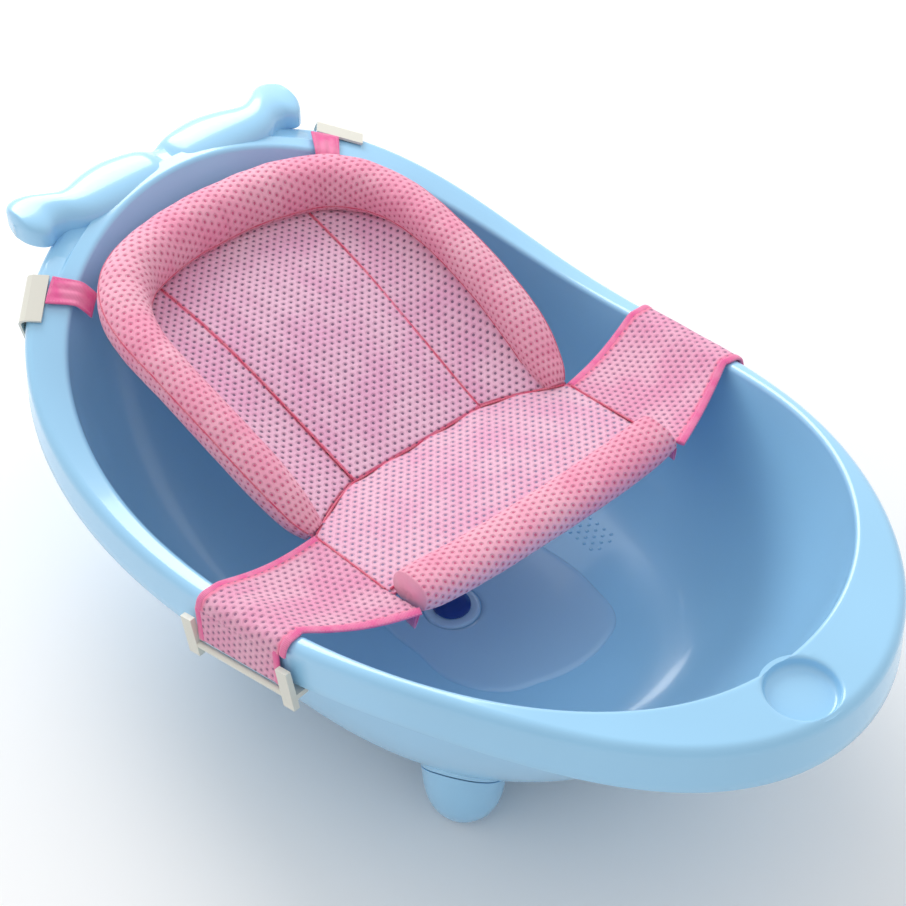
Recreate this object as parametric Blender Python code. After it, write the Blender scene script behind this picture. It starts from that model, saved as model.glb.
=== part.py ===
"""Baby bathtub with a hanging mesh bath sling, built as separate named pieces.

+X runs from the tail handle (the head end) to the wide front deck, +Y is the tub's left side,
and +Z is up. Lengths are metres. The shape is first laid out from the middle of the rim, then
RIM_HEIGHT and CENTRE_X move it so that the feet stand on Z = 0 with the outline centred on X = 0.
"""

import math

import bmesh
import bpy
import numpy as np
from mathutils import Matrix, Vector
from mathutils.bvhtree import BVHTree

# Driving dimensions.
RIM_HEIGHT = 0.187
CENTRE_X = 0.0047
HALF_LENGTH = 0.348
HALF_WIDTH = 0.2201
FRONT_PULL = 0.0045
WIDTH_TERMS = (-0.057, 0.293, -0.083, -0.060)
SHEER_TERMS = (0.0722, 0.0679, -0.0792)
BAND_TERMS = (0.0181, -0.0110, -0.0049, -0.0166, 0.0389, 0.0289)
BAND_TAIL_TRIM = 0.008
SKIRT_DEPTH = 0.0365
SKIRT_FRONT_EXTRA = 0.004
SKIRT_FLARE = 0.0022
WALL = 0.0032
FLOOR_Z = -0.148
FLOOR_CENTRE_X = 0.018
FLOOR_HALF_LENGTH = 0.160
FLOOR_HALF_WIDTH = 0.113
STATIONS = 80

DISH_X, DISH_Y, DISH_RADIUS, DISH_DEPTH = 0.3690, -0.011, 0.0270, 0.009
DRAIN_X, DRAIN_Y, DRAIN_HOLE_RADIUS = 0.028, -0.022, 0.0112

FRONT_FOOT_XY = (0.160, 0.1225)
REAR_FOOT_XY = (-0.105, 0.100)
FOOT_PROFILE = ((0.010, 0.0), (0.0185, 0.0025), (0.0250, 0.0085), (0.0290, 0.0180), (0.0312, 0.0300),
                (0.0325, 0.0450), (0.0333, 0.0600), (0.0337, 0.0850), (0.0337, 0.1500))
FOOT_SIDES, COLLAR_DROP, SEAM_GAP = 32, 0.0065, 0.0010

FLUKE_BOTTOM, FLUKE_EDGE, FLUKE_CROWN = 0.050, 0.061, 0.016
FLUKE_OUTER = (
    (0.000, -0.394), (0.013, -0.399), (0.030, -0.404), (0.050, -0.406), (0.070, -0.402),
    (0.087, -0.395), (0.097, -0.394), (0.108, -0.400), (0.118, -0.408), (0.127, -0.412),
    (0.135, -0.410), (0.1405, -0.402), (0.1435, -0.386),
)
FLUKE_INNER = (
    (0.000, -0.3465), (0.050, -0.3455), (0.080, -0.346), (0.095, -0.350), (0.108, -0.358), (0.118, -0.360),
    (0.126, -0.356), (0.132, -0.357), (0.138, -0.364), (0.142, -0.374), (0.1435, -0.386),
)

# Rows of x, y, half width and the height of the middle line above the back.
BOLSTER_PATH = (
    (-0.013, 0.124, 0.005, 0.010), (-0.028, 0.128, 0.010, 0.016), (-0.060, 0.133, 0.0145, 0.027),
    (-0.110, 0.137, 0.0160, 0.034), (-0.165, 0.1385, 0.0170, 0.035), (-0.213, 0.1365, 0.0190, 0.031),
    (-0.252, 0.1255, 0.0210, 0.026), (-0.281, 0.103, 0.0225, 0.022), (-0.297, 0.071, 0.0230, 0.019),
    (-0.305, 0.035, 0.0230, 0.0175), (-0.307, 0.000, 0.0230, 0.017),
)
BACK_SLOPE = 0.21
CREASE_X, CREASE_Z = -0.038, -0.025
SEAT_FRONT_X, SEAT_FRONT_Z, SEAT_HALF_WIDTH = 0.080, -0.002, 0.128
ROLL_X, ROLL_Z = 0.1035, 0.003
WING_SEAT_X = (-0.001, 0.1215)
WING_RIM_X = {"left": (-0.022, 0.0870), "right": (0.001, 0.0890)}
PANEL = 0.003
GAP = 0.0015

# Colours as linear RGB: blue plastic, navy plug, pink mesh, deep pink tape, warm grey clips.
BLUE = (0.36, 0.66, 0.93)
PALE_BLUE = (0.45, 0.72, 0.93)
NAVY = (0.012, 0.035, 0.22)
MESH_PINK = (0.93, 0.45, 0.68)
SOFT_PINK = (0.90, 0.55, 0.76)
TAPE_PINK = (0.86, 0.12, 0.36)
GREY = (0.68, 0.67, 0.60)


def clear_scene():
    for obj in list(bpy.data.objects):
        bpy.data.objects.remove(obj, do_unlink=True)


def material(name, colour, roughness):
    found = bpy.data.materials.new(name)
    found.use_nodes = True
    shader = found.node_tree.nodes["Principled BSDF"]
    shader.inputs["Base Color"].default_value = (*colour, 1.0)
    shader.inputs["Roughness"].default_value = roughness
    shader.inputs["Metallic"].default_value = 0.0
    found.diffuse_color = (*colour, 1.0)
    return found


def add_object(name, vertices, faces, colour, roughness, origin=(0.0, 0.0, 0.0)):
    """Makes one named body from points in the layout, with its origin at the given point."""
    shift = Vector((CENTRE_X, 0.0, RIM_HEIGHT))
    origin = Vector(origin) + shift
    mesh = bpy.data.meshes.new(name)
    mesh.from_pydata([tuple(Vector(v) + shift - origin) for v in vertices], [], faces)
    mesh.update()
    clean = bmesh.new()
    clean.from_mesh(mesh)
    bmesh.ops.recalc_face_normals(clean, faces=clean.faces)
    clean.to_mesh(mesh)
    clean.free()
    for polygon in mesh.polygons:
        polygon.use_smooth = True
    obj = bpy.data.objects.new(name, mesh)
    obj.location = origin
    bpy.context.scene.collection.objects.link(obj)
    obj.data.materials.append(material(name + "_material", colour, roughness))
    return obj


def boolean(obj, tool, operation):
    """Applies one exact boolean and removes the tool."""
    modifier = obj.modifiers.new(operation.lower(), "BOOLEAN")
    modifier.operation = operation
    modifier.solver = "EXACT"
    modifier.object = tool
    bpy.context.view_layer.update()
    evaluated = obj.evaluated_get(bpy.context.evaluated_depsgraph_get())
    mesh = bpy.data.meshes.new_from_object(evaluated)
    obj.modifiers.remove(modifier)
    obj.data = mesh
    bpy.data.objects.remove(tool, do_unlink=True)


# The rim's shape. theta is 0 at the front, 180 degrees at the tail, and positive on the left.

def polynomial(terms, value, first_power):
    return sum(term * value ** (power + first_power) for power, term in enumerate(terms))


def rim_point(theta):
    """The inner edge of the rim."""
    along = math.cos(theta)
    widen = 1.0 + polynomial(WIDTH_TERMS, along, 1)
    height = polynomial(SHEER_TERMS, along, 1)
    pull = FRONT_PULL * max(0.0, along) ** 10
    return np.array([HALF_LENGTH * along - pull, HALF_WIDTH * math.sin(theta) * widen, height])


def rim_normal(theta):
    """The outward direction in plan."""
    step = 1e-4
    along = rim_point(theta + step) - rim_point(theta - step)
    normal = np.array([along[1], -along[0], 0.0])
    return normal / np.linalg.norm(normal)


def band_width(theta):
    along = math.cos(theta)
    trim = BAND_TAIL_TRIM * max(0.0, -along) ** 6
    return polynomial(BAND_TERMS, along, 0) - trim + FRONT_PULL * max(0.0, along) ** 10


def skirt_depth(theta):
    return SKIRT_DEPTH + SKIRT_FRONT_EXTRA * max(0.0, math.cos(theta)) ** 4


def beside_rim(theta, out, up):
    """A point this far outward from the rim's inner edge and this far above it."""
    return rim_point(theta) + rim_normal(theta) * out + np.array([0.0, 0.0, up])


def theta_beside(theta, distance):
    """The rim's angle this far along the rim from theta."""
    step = 1e-4
    speed = np.linalg.norm(rim_point(theta + step) - rim_point(theta - step)) / (2 * step)
    return theta + distance / speed


def theta_at(x, side):
    return side * math.acos(max(-1.0, min(1.0, x / HALF_LENGTH)))


def floor_point(theta, grow):
    x = FLOOR_CENTRE_X + (FLOOR_HALF_LENGTH + grow) * math.cos(theta)
    return np.array([x, (FLOOR_HALF_WIDTH + grow) * math.sin(theta), FLOOR_Z])


def wall_point(theta, part, out, drop):
    """A point on the wall's curve: part is 0 on the floor's edge and 1 at the rim."""
    rim = rim_point(theta) + rim_normal(theta) * out
    base = floor_point(theta, out)
    left = 1.0 - part
    side = math.sin(theta) ** 2
    reach = 3 * left * left * part * (0.42 + 0.26 * side) + 3 * left * part * part * (0.82 + 0.11 * side)
    rise = 3 * left * part * part * (0.52 - 0.16 * side) + part ** 3
    point = base + (rim - base) * (reach + part ** 3)
    point[2] = FLOOR_Z - drop + (rim[2] - 0.004 - FLOOR_Z + drop) * rise
    return point


def shell_section(theta):
    """One section of the shell from the floor's inside to its outside, over the rim."""
    width = band_width(theta)
    depth = skirt_depth(theta)
    middle = np.array([FLOOR_CENTRE_X, 0.0, FLOOR_Z])
    points = [middle * (1 - s) + floor_point(theta, 0.0) * s for s in (0.35, 0.7)]
    points += [wall_point(theta, part, 0.0, 0.0) for part in (0, 0.12, 0.24, 0.36, 0.48, 0.6, 0.72, 0.84, 0.93)]
    top = ((0.0, -0.004), (0.001, -0.0014), (0.0035, 0.0), (width * 0.5, 0.0), (width - 0.007, 0.0))
    corner = ((width - 0.003, -0.0008), (width - 0.0006, -0.0035), (width, -0.008))
    skirt = ((width + SKIRT_FLARE * 0.5, -depth * 0.6), (width + SKIRT_FLARE, -depth))
    inside = ((width, -depth), (width - WALL, -0.010), (width - 0.007, -0.0038),
              (WALL + 0.004, -0.0038))
    points += [beside_rim(theta, out, up) for out, up in top + corner + skirt + inside]
    points += [wall_point(theta, part, WALL, WALL) for part in (0.96, 0.84, 0.72, 0.6, 0.48, 0.36, 0.24, 0.12, 0)]
    floor = floor_point(theta, WALL)
    floor[2] -= WALL
    centre = np.array([FLOOR_CENTRE_X, 0.0, FLOOR_Z - WALL])
    points += [centre * (1 - s) + floor * s for s in (0.7, 0.35)]
    return points


def closed_rings(rings, start, end):
    """Vertices and faces of rings joined in order, closed by one point at each end."""
    count = len(rings[0])
    vertices = [point for ring in rings for point in ring] + [start, end]
    first, last = len(vertices) - 2, len(vertices) - 1
    faces = []
    for row in range(len(rings) - 1):
        for column in range(count):
            after = (column + 1) % count
            faces.append((row * count + column, row * count + after,
                          (row + 1) * count + after, (row + 1) * count + column))
    for column in range(count):
        after = (column + 1) % count
        faces.append((first, after, column))
        base = (len(rings) - 1) * count
        faces.append((last, base + column, base + after))
    return vertices, faces


def lathe(profile, centre, sides):
    """A turned body from (radius, height) points, closed on its axis at both ends."""
    rings = []
    for radius, height in profile:
        turns = [2 * math.pi * side / sides for side in range(sides)]
        rings.append([(centre[0] + radius * math.cos(a), centre[1] + radius * math.sin(a), height)
                      for a in turns])
    start = (centre[0], centre[1], profile[0][1])
    end = (centre[0], centre[1], profile[-1][1])
    return closed_rings(rings, start, end)


# The tail handle.

def fluke_edges(y):
    side = abs(y)
    outer = np.interp(side, [p[0] for p in FLUKE_OUTER], [p[1] for p in FLUKE_OUTER])
    inner = np.interp(side, [p[0] for p in FLUKE_INNER], [p[1] for p in FLUKE_INNER])
    return outer, inner


def fluke():
    """The two puffed lobes of the tail handle, flat underneath."""
    tip = FLUKE_OUTER[-1][0]
    rows = [tip * math.sin(math.pi / 2 * step / 20) for step in range(-19, 20)]
    rings = []
    for y in rows:
        outer, inner = fluke_edges(y)
        middle, half = (outer + inner) / 2, max((inner - outer) / 2, 0.002)
        fullness = min(1.0, half / 0.018) * (1 - 0.45 * math.exp(-((y / 0.012) ** 2)))
        ring = [(middle + half, y, FLUKE_BOTTOM), (middle + half, y, FLUKE_EDGE)]
        for step in range(1, 12):
            turn = math.pi * step / 12
            up = FLUKE_CROWN * fullness * math.sin(turn) ** 0.7
            ring.append((middle + half * math.cos(turn), y, FLUKE_EDGE + up))
        ring += [(middle - half, y, FLUKE_EDGE), (middle - half, y, FLUKE_BOTTOM)]
        rings.append(ring)
    end_x = FLUKE_OUTER[-1][1]
    start = (end_x, rows[0] - 0.0006, (FLUKE_BOTTOM + FLUKE_EDGE) / 2)
    end = (end_x, rows[-1] + 0.0006, (FLUKE_BOTTOM + FLUKE_EDGE) / 2)
    vertices, faces = closed_rings(rings, start, end)
    return add_object("fluke_tool", vertices, faces, BLUE, 0.2)


def foot_centres():
    return {
        "front_left": (FRONT_FOOT_XY[0], FRONT_FOOT_XY[1]),
        "front_right": (FRONT_FOOT_XY[0], -FRONT_FOOT_XY[1]),
        "rear_left": (REAR_FOOT_XY[0], REAR_FOOT_XY[1]),
        "rear_right": (REAR_FOOT_XY[0], -REAR_FOOT_XY[1]),
    }


def foot_radius(height):
    """The foot's radius at a height above the ground."""
    return float(np.interp(height, [p[1] for p in FOOT_PROFILE], [p[0] for p in FOOT_PROFILE]))


def underside(tree, x, y):
    """The height of the shell's underside above a point of the plan."""
    return tree.ray_cast(Vector((x, y, -1.0)), Vector((0, 0, 1)))[0].z


def foot_seam(tree, centre):
    """The seam's rings, from the foot's side to its middle, as points on the shell's underside."""
    rings = [[], [], []]
    for side in range(FOOT_SIDES):
        turn = 2 * math.pi * side / FOOT_SIDES
        radius = foot_radius(0.08)
        for _ in range(6):
            x, y = centre[0] + radius * math.cos(turn), centre[1] + radius * math.sin(turn)
            radius = foot_radius(underside(tree, x, y) - COLLAR_DROP + RIM_HEIGHT)
        for ring, part in zip(rings, (1.0, 0.66, 0.33)):
            x, y = centre[0] + part * radius * math.cos(turn), centre[1] + part * radius * math.sin(turn)
            ring.append((x, y, underside(tree, x, y)))
    return rings, (*centre, underside(tree, *centre))


def lowered(ring, drop):
    return [(x, y, z - drop) for x, y, z in ring]


def foot_collar(seam, middle):
    """The moulded collar between the shell's underside and the foot cap's seam."""
    under = [lowered(ring, COLLAR_DROP - SEAM_GAP) for ring in reversed(seam)]
    above = [lowered(ring, -0.6 * WALL) for ring in seam]
    start = lowered([middle], COLLAR_DROP - SEAM_GAP)[0]
    vertices, faces = closed_rings(under + above, start, lowered([middle], -0.6 * WALL)[0])
    return add_object("collar_tool", vertices, faces, BLUE, 0.2)


def foot_cap(name, seam, middle, centre):
    """A rounded foot that the tub stands on, ending at the seam under its collar."""
    rings = []
    for part in (0.0, 0.03, 0.08, 0.16, 0.28, 0.42, 0.58, 0.78):
        ring = []
        for side, point in enumerate(seam[0]):
            turn = 2 * math.pi * side / FOOT_SIDES
            height = (point[2] - COLLAR_DROP + RIM_HEIGHT) * part
            radius = foot_radius(height)
            x, y = centre[0] + radius * math.cos(turn), centre[1] + radius * math.sin(turn)
            ring.append((x, y, height - RIM_HEIGHT))
        rings.append(ring)
    rings += [lowered(ring, COLLAR_DROP) for ring in seam]
    start = (centre[0], centre[1], -RIM_HEIGHT)
    vertices, faces = closed_rings(rings, start, lowered([middle], COLLAR_DROP)[0])
    add_object("foot_cap_" + name, vertices, faces, BLUE, 0.22)


def feet(shell):
    """Adds the four feet and joins their collars to the shell."""
    plain = shell.data.copy()
    plain.transform(Matrix.Translation((-CENTRE_X, 0, -RIM_HEIGHT)))
    tree = BVHTree.FromPolygons([v.co for v in plain.vertices], [p.vertices for p in plain.polygons])
    for name, centre in foot_centres().items():
        seam, middle = foot_seam(tree, centre)
        boolean(shell, foot_collar(seam, middle), "UNION")
        foot_cap(name, seam, middle, centre)


def tub_shell():
    """The moulded tub: inner wall, rolled rim with its skirt, deck dish, tail handle, foot collars."""
    columns = [shell_section(2 * math.pi * station / STATIONS) for station in range(STATIONS)]
    rings = [[column[row] for column in columns] for row in range(len(columns[0]))]
    start = (FLOOR_CENTRE_X, 0.0, FLOOR_Z)
    end = (FLOOR_CENTRE_X, 0.0, FLOOR_Z - WALL)
    vertices, faces = closed_rings(rings, start, end)
    shell = add_object("tub_shell", vertices, faces, BLUE, 0.2)
    shell.location = (0, 0, 0)
    shell.data.transform(Matrix.Translation((CENTRE_X, 0, RIM_HEIGHT)))
    feet(shell)
    boolean(shell, fluke(), "UNION")
    deck = rim_point(0.0)[2]
    bottom = deck - DISH_DEPTH
    cup = ((DISH_RADIUS - 0.002, bottom - WALL), (DISH_RADIUS + 0.0018, bottom - WALL + 0.002),
           (DISH_RADIUS + 0.0025, deck - 0.0018))
    vertices, faces = lathe(cup, (DISH_X, DISH_Y), 48)
    boolean(shell, add_object("cup_tool", vertices, faces, BLUE, 0.2), "UNION")
    hollow = ((DISH_RADIUS - 0.004, bottom), (DISH_RADIUS - 0.0015, bottom + 0.0015),
              (DISH_RADIUS, deck - 0.0015), (DISH_RADIUS + 0.002, deck + 0.002))
    vertices, faces = lathe(hollow, (DISH_X, DISH_Y), 48)
    boolean(shell, add_object("hollow_tool", vertices, faces, BLUE, 0.2), "DIFFERENCE")
    hole = ((DRAIN_HOLE_RADIUS, FLOOR_Z - 0.02), (DRAIN_HOLE_RADIUS, FLOOR_Z + 0.02))
    vertices, faces = lathe(hole, (DRAIN_X, DRAIN_Y), 40)
    boolean(shell, add_object("hole_tool", vertices, faces, BLUE, 0.2), "DIFFERENCE")
    return shell


def drain():
    """The drain's seat ring and the plug that pulls up out of it."""
    centre = (DRAIN_X, DRAIN_Y)
    low, high = FLOOR_Z + 0.0003, FLOOR_Z + 0.0022
    inner, outer = DRAIN_HOLE_RADIUS + 0.0006, 0.0235
    section = ((inner, low), (outer, low), (outer - 0.0012, high - 0.0004), (outer - 0.003, high), (inner, high))
    vertices, faces = [], []
    sides = 48
    for radius, height in section:
        for side in range(sides):
            turn = 2 * math.pi * side / sides
            vertices.append((centre[0] + radius * math.cos(turn), centre[1] + radius * math.sin(turn), height))
    for row in range(len(section)):
        below = (row + 1) % len(section)
        for side in range(sides):
            after = (side + 1) % sides
            faces.append((row * sides + side, row * sides + after, below * sides + after, below * sides + side))
    add_object("drain_seat_ring", vertices, faces, PALE_BLUE, 0.25)
    base = high + 0.0004
    plug = ((0.0070, FLOOR_Z - 0.0090), (0.0088, FLOOR_Z - 0.0075), (0.0096, base), (0.0150, base),
            (0.0160, base + 0.0010), (0.0156, base + 0.0026), (0.0120, base + 0.0042), (0.0060, base + 0.0050))
    vertices, faces = lathe(plug, centre, 40)
    add_object("drain_plug", vertices, faces, NAVY, 0.18, origin=(centre[0], centre[1], base))


# The sling. Its panels are plain closed slabs here.

def slab(name, grid, half_thickness, colour, roughness=0.8, origin=(0.0, 0.0, 0.0)):
    """A closed sheet of even thickness whose middle surface is a grid of points."""
    grid = np.array(grid, dtype=float)
    rows, columns = grid.shape[:2]
    along = np.gradient(grid, axis=0)
    across = np.gradient(grid, axis=1)
    normals = np.cross(along, across)
    normals /= np.linalg.norm(normals, axis=2)[:, :, None]
    upper = (grid + normals * half_thickness).reshape(-1, 3)
    lower = (grid - normals * half_thickness).reshape(-1, 3)
    vertices = [tuple(point) for point in np.concatenate([upper, lower])]
    base = rows * columns
    faces = []
    for row in range(rows - 1):
        for column in range(columns - 1):
            corner = row * columns + column
            square = (corner, corner + 1, corner + columns + 1, corner + columns)
            faces.append(square)
            faces.append(tuple(base + index for index in reversed(square)))
    edge = [column for column in range(columns)]
    edge += [row * columns + columns - 1 for row in range(1, rows)]
    edge += [(rows - 1) * columns + column for column in range(columns - 2, -1, -1)]
    edge += [row * columns for row in range(rows - 2, 0, -1)]
    for index, corner in enumerate(edge):
        after = edge[(index + 1) % len(edge)]
        faces.append((corner, base + corner, base + after, after))
    return add_object(name, vertices, faces, colour, roughness, origin)


def tube(name, path, across, sizes, colour, sides=16):
    """A closed tube along a path; sizes are (half width, half height) and across is its wide direction."""
    path = [np.array(point, dtype=float) for point in path]
    rings = []
    for index, point in enumerate(path):
        ahead = path[min(index + 1, len(path) - 1)] - path[max(index - 1, 0)]
        ahead /= np.linalg.norm(ahead)
        wide = np.array(across[index], dtype=float)
        wide -= ahead * np.dot(wide, ahead)
        wide /= np.linalg.norm(wide)
        high = np.cross(wide, ahead)
        half_wide, half_high = sizes[index]
        turns = [2 * math.pi * side / sides for side in range(sides)]
        rings.append([tuple(point + wide * half_wide * math.cos(a) + high * half_high * math.sin(a))
                      for a in turns])
    vertices, faces = closed_rings(rings, tuple(path[0]), tuple(path[-1]))
    return add_object(name, vertices, faces, colour, 0.8)


def back_height(x):
    """The height of the back's middle surface."""
    return CREASE_Z + BACK_SLOPE * (CREASE_X - x)


def smooth_path(points, count):
    """A smooth curve through the points, evenly numbered."""
    points = np.array(points, dtype=float)
    padded = np.vstack([2 * points[0] - points[1], points, 2 * points[-1] - points[-2]])
    found = []
    for value in np.linspace(0, len(points) - 1, count):
        index = min(int(value), len(points) - 2)
        t = value - index
        p0, p1, p2, p3 = padded[index:index + 4]
        found.append(0.5 * (2 * p1 + (p2 - p0) * t + (2 * p0 - 5 * p1 + 4 * p2 - p3) * t * t
                            + (3 * p1 - p0 - 3 * p2 + p3) * t ** 3))
    return np.array(found)


def bolster_curve():
    """The bolster's middle line round both sides, as rows like BOLSTER_PATH."""
    one_side = smooth_path(BOLSTER_PATH, 31)
    other = one_side[:-1][::-1] * np.array([1.0, -1.0, 1.0, 1.0])
    return np.vstack([one_side, other])


def bolster():
    curve = bolster_curve()
    path = [(x, y, back_height(x) + lift) for x, y, half, lift in curve]
    directions = np.gradient(curve[:, :2], axis=0)
    across = [(-step[1], step[0], 0.0) for step in directions]
    sizes = [(half, half) for half in curve[:, 2]]
    tube("sling_head_bolster", path, across, sizes, MESH_PINK, sides=20)


def bolster_inner_edge(x):
    """How far from the middle the bolster's inner side lies at x, and its height above the back."""
    curve = smooth_path(BOLSTER_PATH, 61)
    tangent = np.gradient(curve[:, :2], axis=0)
    tangent /= np.linalg.norm(tangent, axis=1)[:, None]
    inward = np.stack([-tangent[:, 1], tangent[:, 0]], axis=1)
    inner = curve[:, :2] + inward * curve[:, 2:3]
    order = np.argsort(inner[:, 0])
    lift = curve[:, 3] - 0.5 * curve[:, 2]
    ordered = inner[order]
    return float(np.interp(x, ordered[:, 0], ordered[:, 1])), float(np.interp(x, ordered[:, 0], lift[order]))


def crease_x(y):
    side = max(0.0, abs(y) - 0.065) / 0.063
    return CREASE_X + 0.033 * min(1.0, side) ** 1.3


def back_seam_y(x):
    return float(np.interp(x, (-0.285, -0.154, CREASE_X), (0.078, 0.070, 0.065)))


def back_panels():
    """The middle of the back and the two side gussets between it and the bolster."""
    top = -0.285
    rows = 12
    middle = []
    for step in range(rows + 1):
        row = []
        for across in np.linspace(-1, 1, 9):
            x = (CREASE_X - GAP) + (top - CREASE_X + GAP) * step / rows
            bulge = 0.008 * (1 - across * across) * (step / rows) ** 4
            limit = min(back_seam_y(x), bolster_inner_edge(x)[0] - 2 * GAP) - GAP / 2
            row.append((x - bulge, across * limit, back_height(x - bulge)))
        middle.append(row)
    slab("sling_back_panel", middle, PANEL / 2, SOFT_PINK)
    for side, name in ((1, "left"), (-1, "right")):
        grid = []
        for step in range(rows + 1):
            start = crease_x(0.085) - 0.004
            x = start + (-0.262 - start) * step / rows
            inner = back_seam_y(x) + GAP / 2
            edge, lift = bolster_inner_edge(x)
            outer = max(edge - 2 * GAP, inner + 0.004)
            rise = lift * min(1.0, (rows - step) / 4)
            row = []
            for across in np.linspace(0, 1, 5):
                y = inner + (outer - inner) * across
                shifted = x + (crease_x(y) - crease_x(0.085)) * (1 - step / rows) ** 2
                row.append((shifted, side * y, back_height(x) + rise * across ** 2))
            grid.append(row)
        slab("sling_back_gusset_" + name, grid, PANEL / 2, SOFT_PINK)


def seat_panel():
    grid = []
    for step in range(9):
        part = step / 8
        row = []
        for across in np.linspace(-1, 1, 17):
            y = across * SEAT_HALF_WIDTH
            start = crease_x(y) + GAP
            lift = CREASE_Z + 0.010 * (crease_x(y) - CREASE_X) / 0.033
            x = start + (SEAT_FRONT_X - start) * part
            row.append((x, y, lift + (SEAT_FRONT_Z - lift) * part))
        grid.append(row)
    slab("sling_seat_panel", grid, PANEL / 2, SOFT_PINK)


def front_roll():
    """The padded roll across the sling's front edge."""
    path = [(ROLL_X, y, ROLL_Z + 0.010 * abs(y / 0.128) ** 3) for y in np.linspace(-0.1265, 0.1265, 17)]
    full = [1.0 - 0.45 * abs(y[1] / 0.1265) ** 8 for y in path]
    sizes = [(0.0205 * part, 0.0135 * part) for part in full]
    tube("sling_front_roll", path, [(1.0, 0.0, 0.0)] * len(path), sizes, MESH_PINK)
    for side, name in ((1, "left"), (-1, "right")):
        x = ROLL_X + 0.008
        grid = []
        for down in (0, 0.5, 1):
            y, z = side * (0.1290 + 0.003 * down), ROLL_Z - 0.002 - 0.012 * down
            grid.append([(x + 0.006 * across * (1 - 0.5 * down), y, z) for across in (-1, 0, 1)])
        slab("sling_roll_tab_" + name, grid, 0.0007, TAPE_PINK)


def wing_path(x, seat_x, side):
    """Points from the seat's edge up over the rim to where the flap starts, at one station along X."""
    theta = theta_at(x, side)
    end = band_width(theta)
    over = ((-0.0020, 0.0012), (0.003, 0.0022), (end * 0.5, 0.0022), (end - 0.0035, 0.0018),
            (end + 0.0005, -0.0012), (end + 0.0023, -0.0058))
    heights = (CREASE_Z + 0.006, SEAT_FRONT_Z, 0.012)
    seat_height = float(np.interp(seat_x, (CREASE_X, SEAT_FRONT_X, 0.125), heights))
    start = np.array([seat_x, side * (SEAT_HALF_WIDTH + GAP + 0.0012), seat_height])
    first = beside_rim(theta, *over[0])
    points = []
    for step in range(6):
        part = step / 6
        point = start + (first - start) * part
        point[2] -= 0.006 * math.sin(math.pi * part)
        points.append(point)
    return points + [beside_rim(theta, out, up) for out, up in over]


def wings():
    """The two side panels that pass over the rim, with the tape along their front and rear edges."""
    inset = 0.0042
    for side, name in ((1, "left"), (-1, "right")):
        rear, front = WING_RIM_X[name]
        grid = []
        for part in np.linspace(0, 1, 9):
            seat_x = np.interp(part, (0, 1), (WING_SEAT_X[0] + inset, WING_SEAT_X[1] - inset))
            x = np.interp(part, (0, 1), (rear + inset, front - inset))
            grid.append(wing_path(x, seat_x, side))
        slab("sling_wing_" + name, grid, 0.0009, MESH_PINK)
        for edge, seat_x, x in (("rear", WING_SEAT_X[0], rear), ("front", WING_SEAT_X[1], front)):
            path = wing_path(x, seat_x, side)
            across = [(1.0, 0.0, 0.0)] * len(path)
            tube("wing_tape_" + edge + "_" + name, path, across, [(0.0030, 0.0013)] * len(path), TAPE_PINK, sides=10)


# The clips and hooks that hold the sling on the rim.

def extrude(outline, low, high):
    """A body from an outline of (outward, up) points, run along its length from low to high."""
    vertices = [(low, out, up) for out, up in outline] + [(high, out, up) for out, up in outline]
    count = len(outline)
    faces = [tuple(range(count)), tuple(range(2 * count - 1, count - 1, -1))]
    faces += [(i, count + i, count + (i + 1) % count, (i + 1) % count) for i in range(count)]
    return vertices, faces


def rod(low, high, out, up, radius, sides=16):
    turns = [2 * math.pi * side / sides for side in range(sides)]
    rings = [[(x, out + radius * math.cos(a), up + radius * math.sin(a)) for a in turns] for x in (low, high)]
    return closed_rings(rings, (low, out, up), (high, out, up))


def placed(matrix, body, name):
    """Moves a body from its own frame (length, outward, up) to the layout and adds it."""
    vertices, faces = body
    moved = [tuple(matrix @ Vector(vertex)) for vertex in vertices]
    origin = matrix.translation
    return add_object(name, moved, faces, GREY, 0.45, origin=tuple(origin))


def frame_along(start, end, side):
    """A frame at the middle of a line: X along it, Y outward from the tub, Z up."""
    start, end = Vector(start), Vector(end)
    along = (end - start).normalized()
    up = Vector((0, 0, 1))
    outward = up.cross(along).normalized()
    if outward.y * side < 0:
        outward = -outward
    height = outward.cross(along)
    if height.z < 0:
        height = -height
    middle = (start + end) / 2
    columns = Matrix((along, outward, height)).transposed().to_4x4()
    columns.translation = middle
    return columns, (end - start).length / 2


HOOK_AXIS_OUT, HOOK_AXIS_DROP = 0.0050, 0.0075
HOOK_POST = ((-0.0020, -0.0105), (0.0026, -0.0105), (0.0036, -0.0440), (-0.0016, -0.0440), (-0.0018, -0.0365),
             (-0.0122, -0.0365), (-0.0128, -0.0325), (-0.0018, -0.0325))
HOOK_POST_WIDTH, HOOK_POST_INSET = 0.0115, 0.0015
HOOK_BAR_DROP, HOOK_BAR_RADIUS = 0.0345, 0.0028


def side_hook(side, name):
    """The bar along the wing's hem, with a post and an inward lip at each end."""
    ends = []
    rear, front = WING_RIM_X[name]
    for x in (rear - 0.0155, front + 0.0075):
        theta = theta_at(x, side)
        out = band_width(theta) + SKIRT_FLARE + HOOK_AXIS_OUT + 0.001
        ends.append(beside_rim(theta, out, -HOOK_AXIS_DROP))
    matrix, half = frame_along(ends[0], ends[1], side)
    hook = placed(matrix, extrude(HOOK_POST, -half, -half + HOOK_POST_WIDTH), "side_hook_" + name)
    other = placed(matrix, extrude(HOOK_POST, half - HOOK_POST_WIDTH, half), "post_tool")
    inset = HOOK_POST_WIDTH * 0.5
    bar = placed(matrix, rod(-half + inset, half - inset, 0.0004, -HOOK_BAR_DROP, HOOK_BAR_RADIUS), "bar_tool")
    boolean(hook, bar, "UNION")
    boolean(hook, other, "UNION")
    return matrix, half


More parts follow.
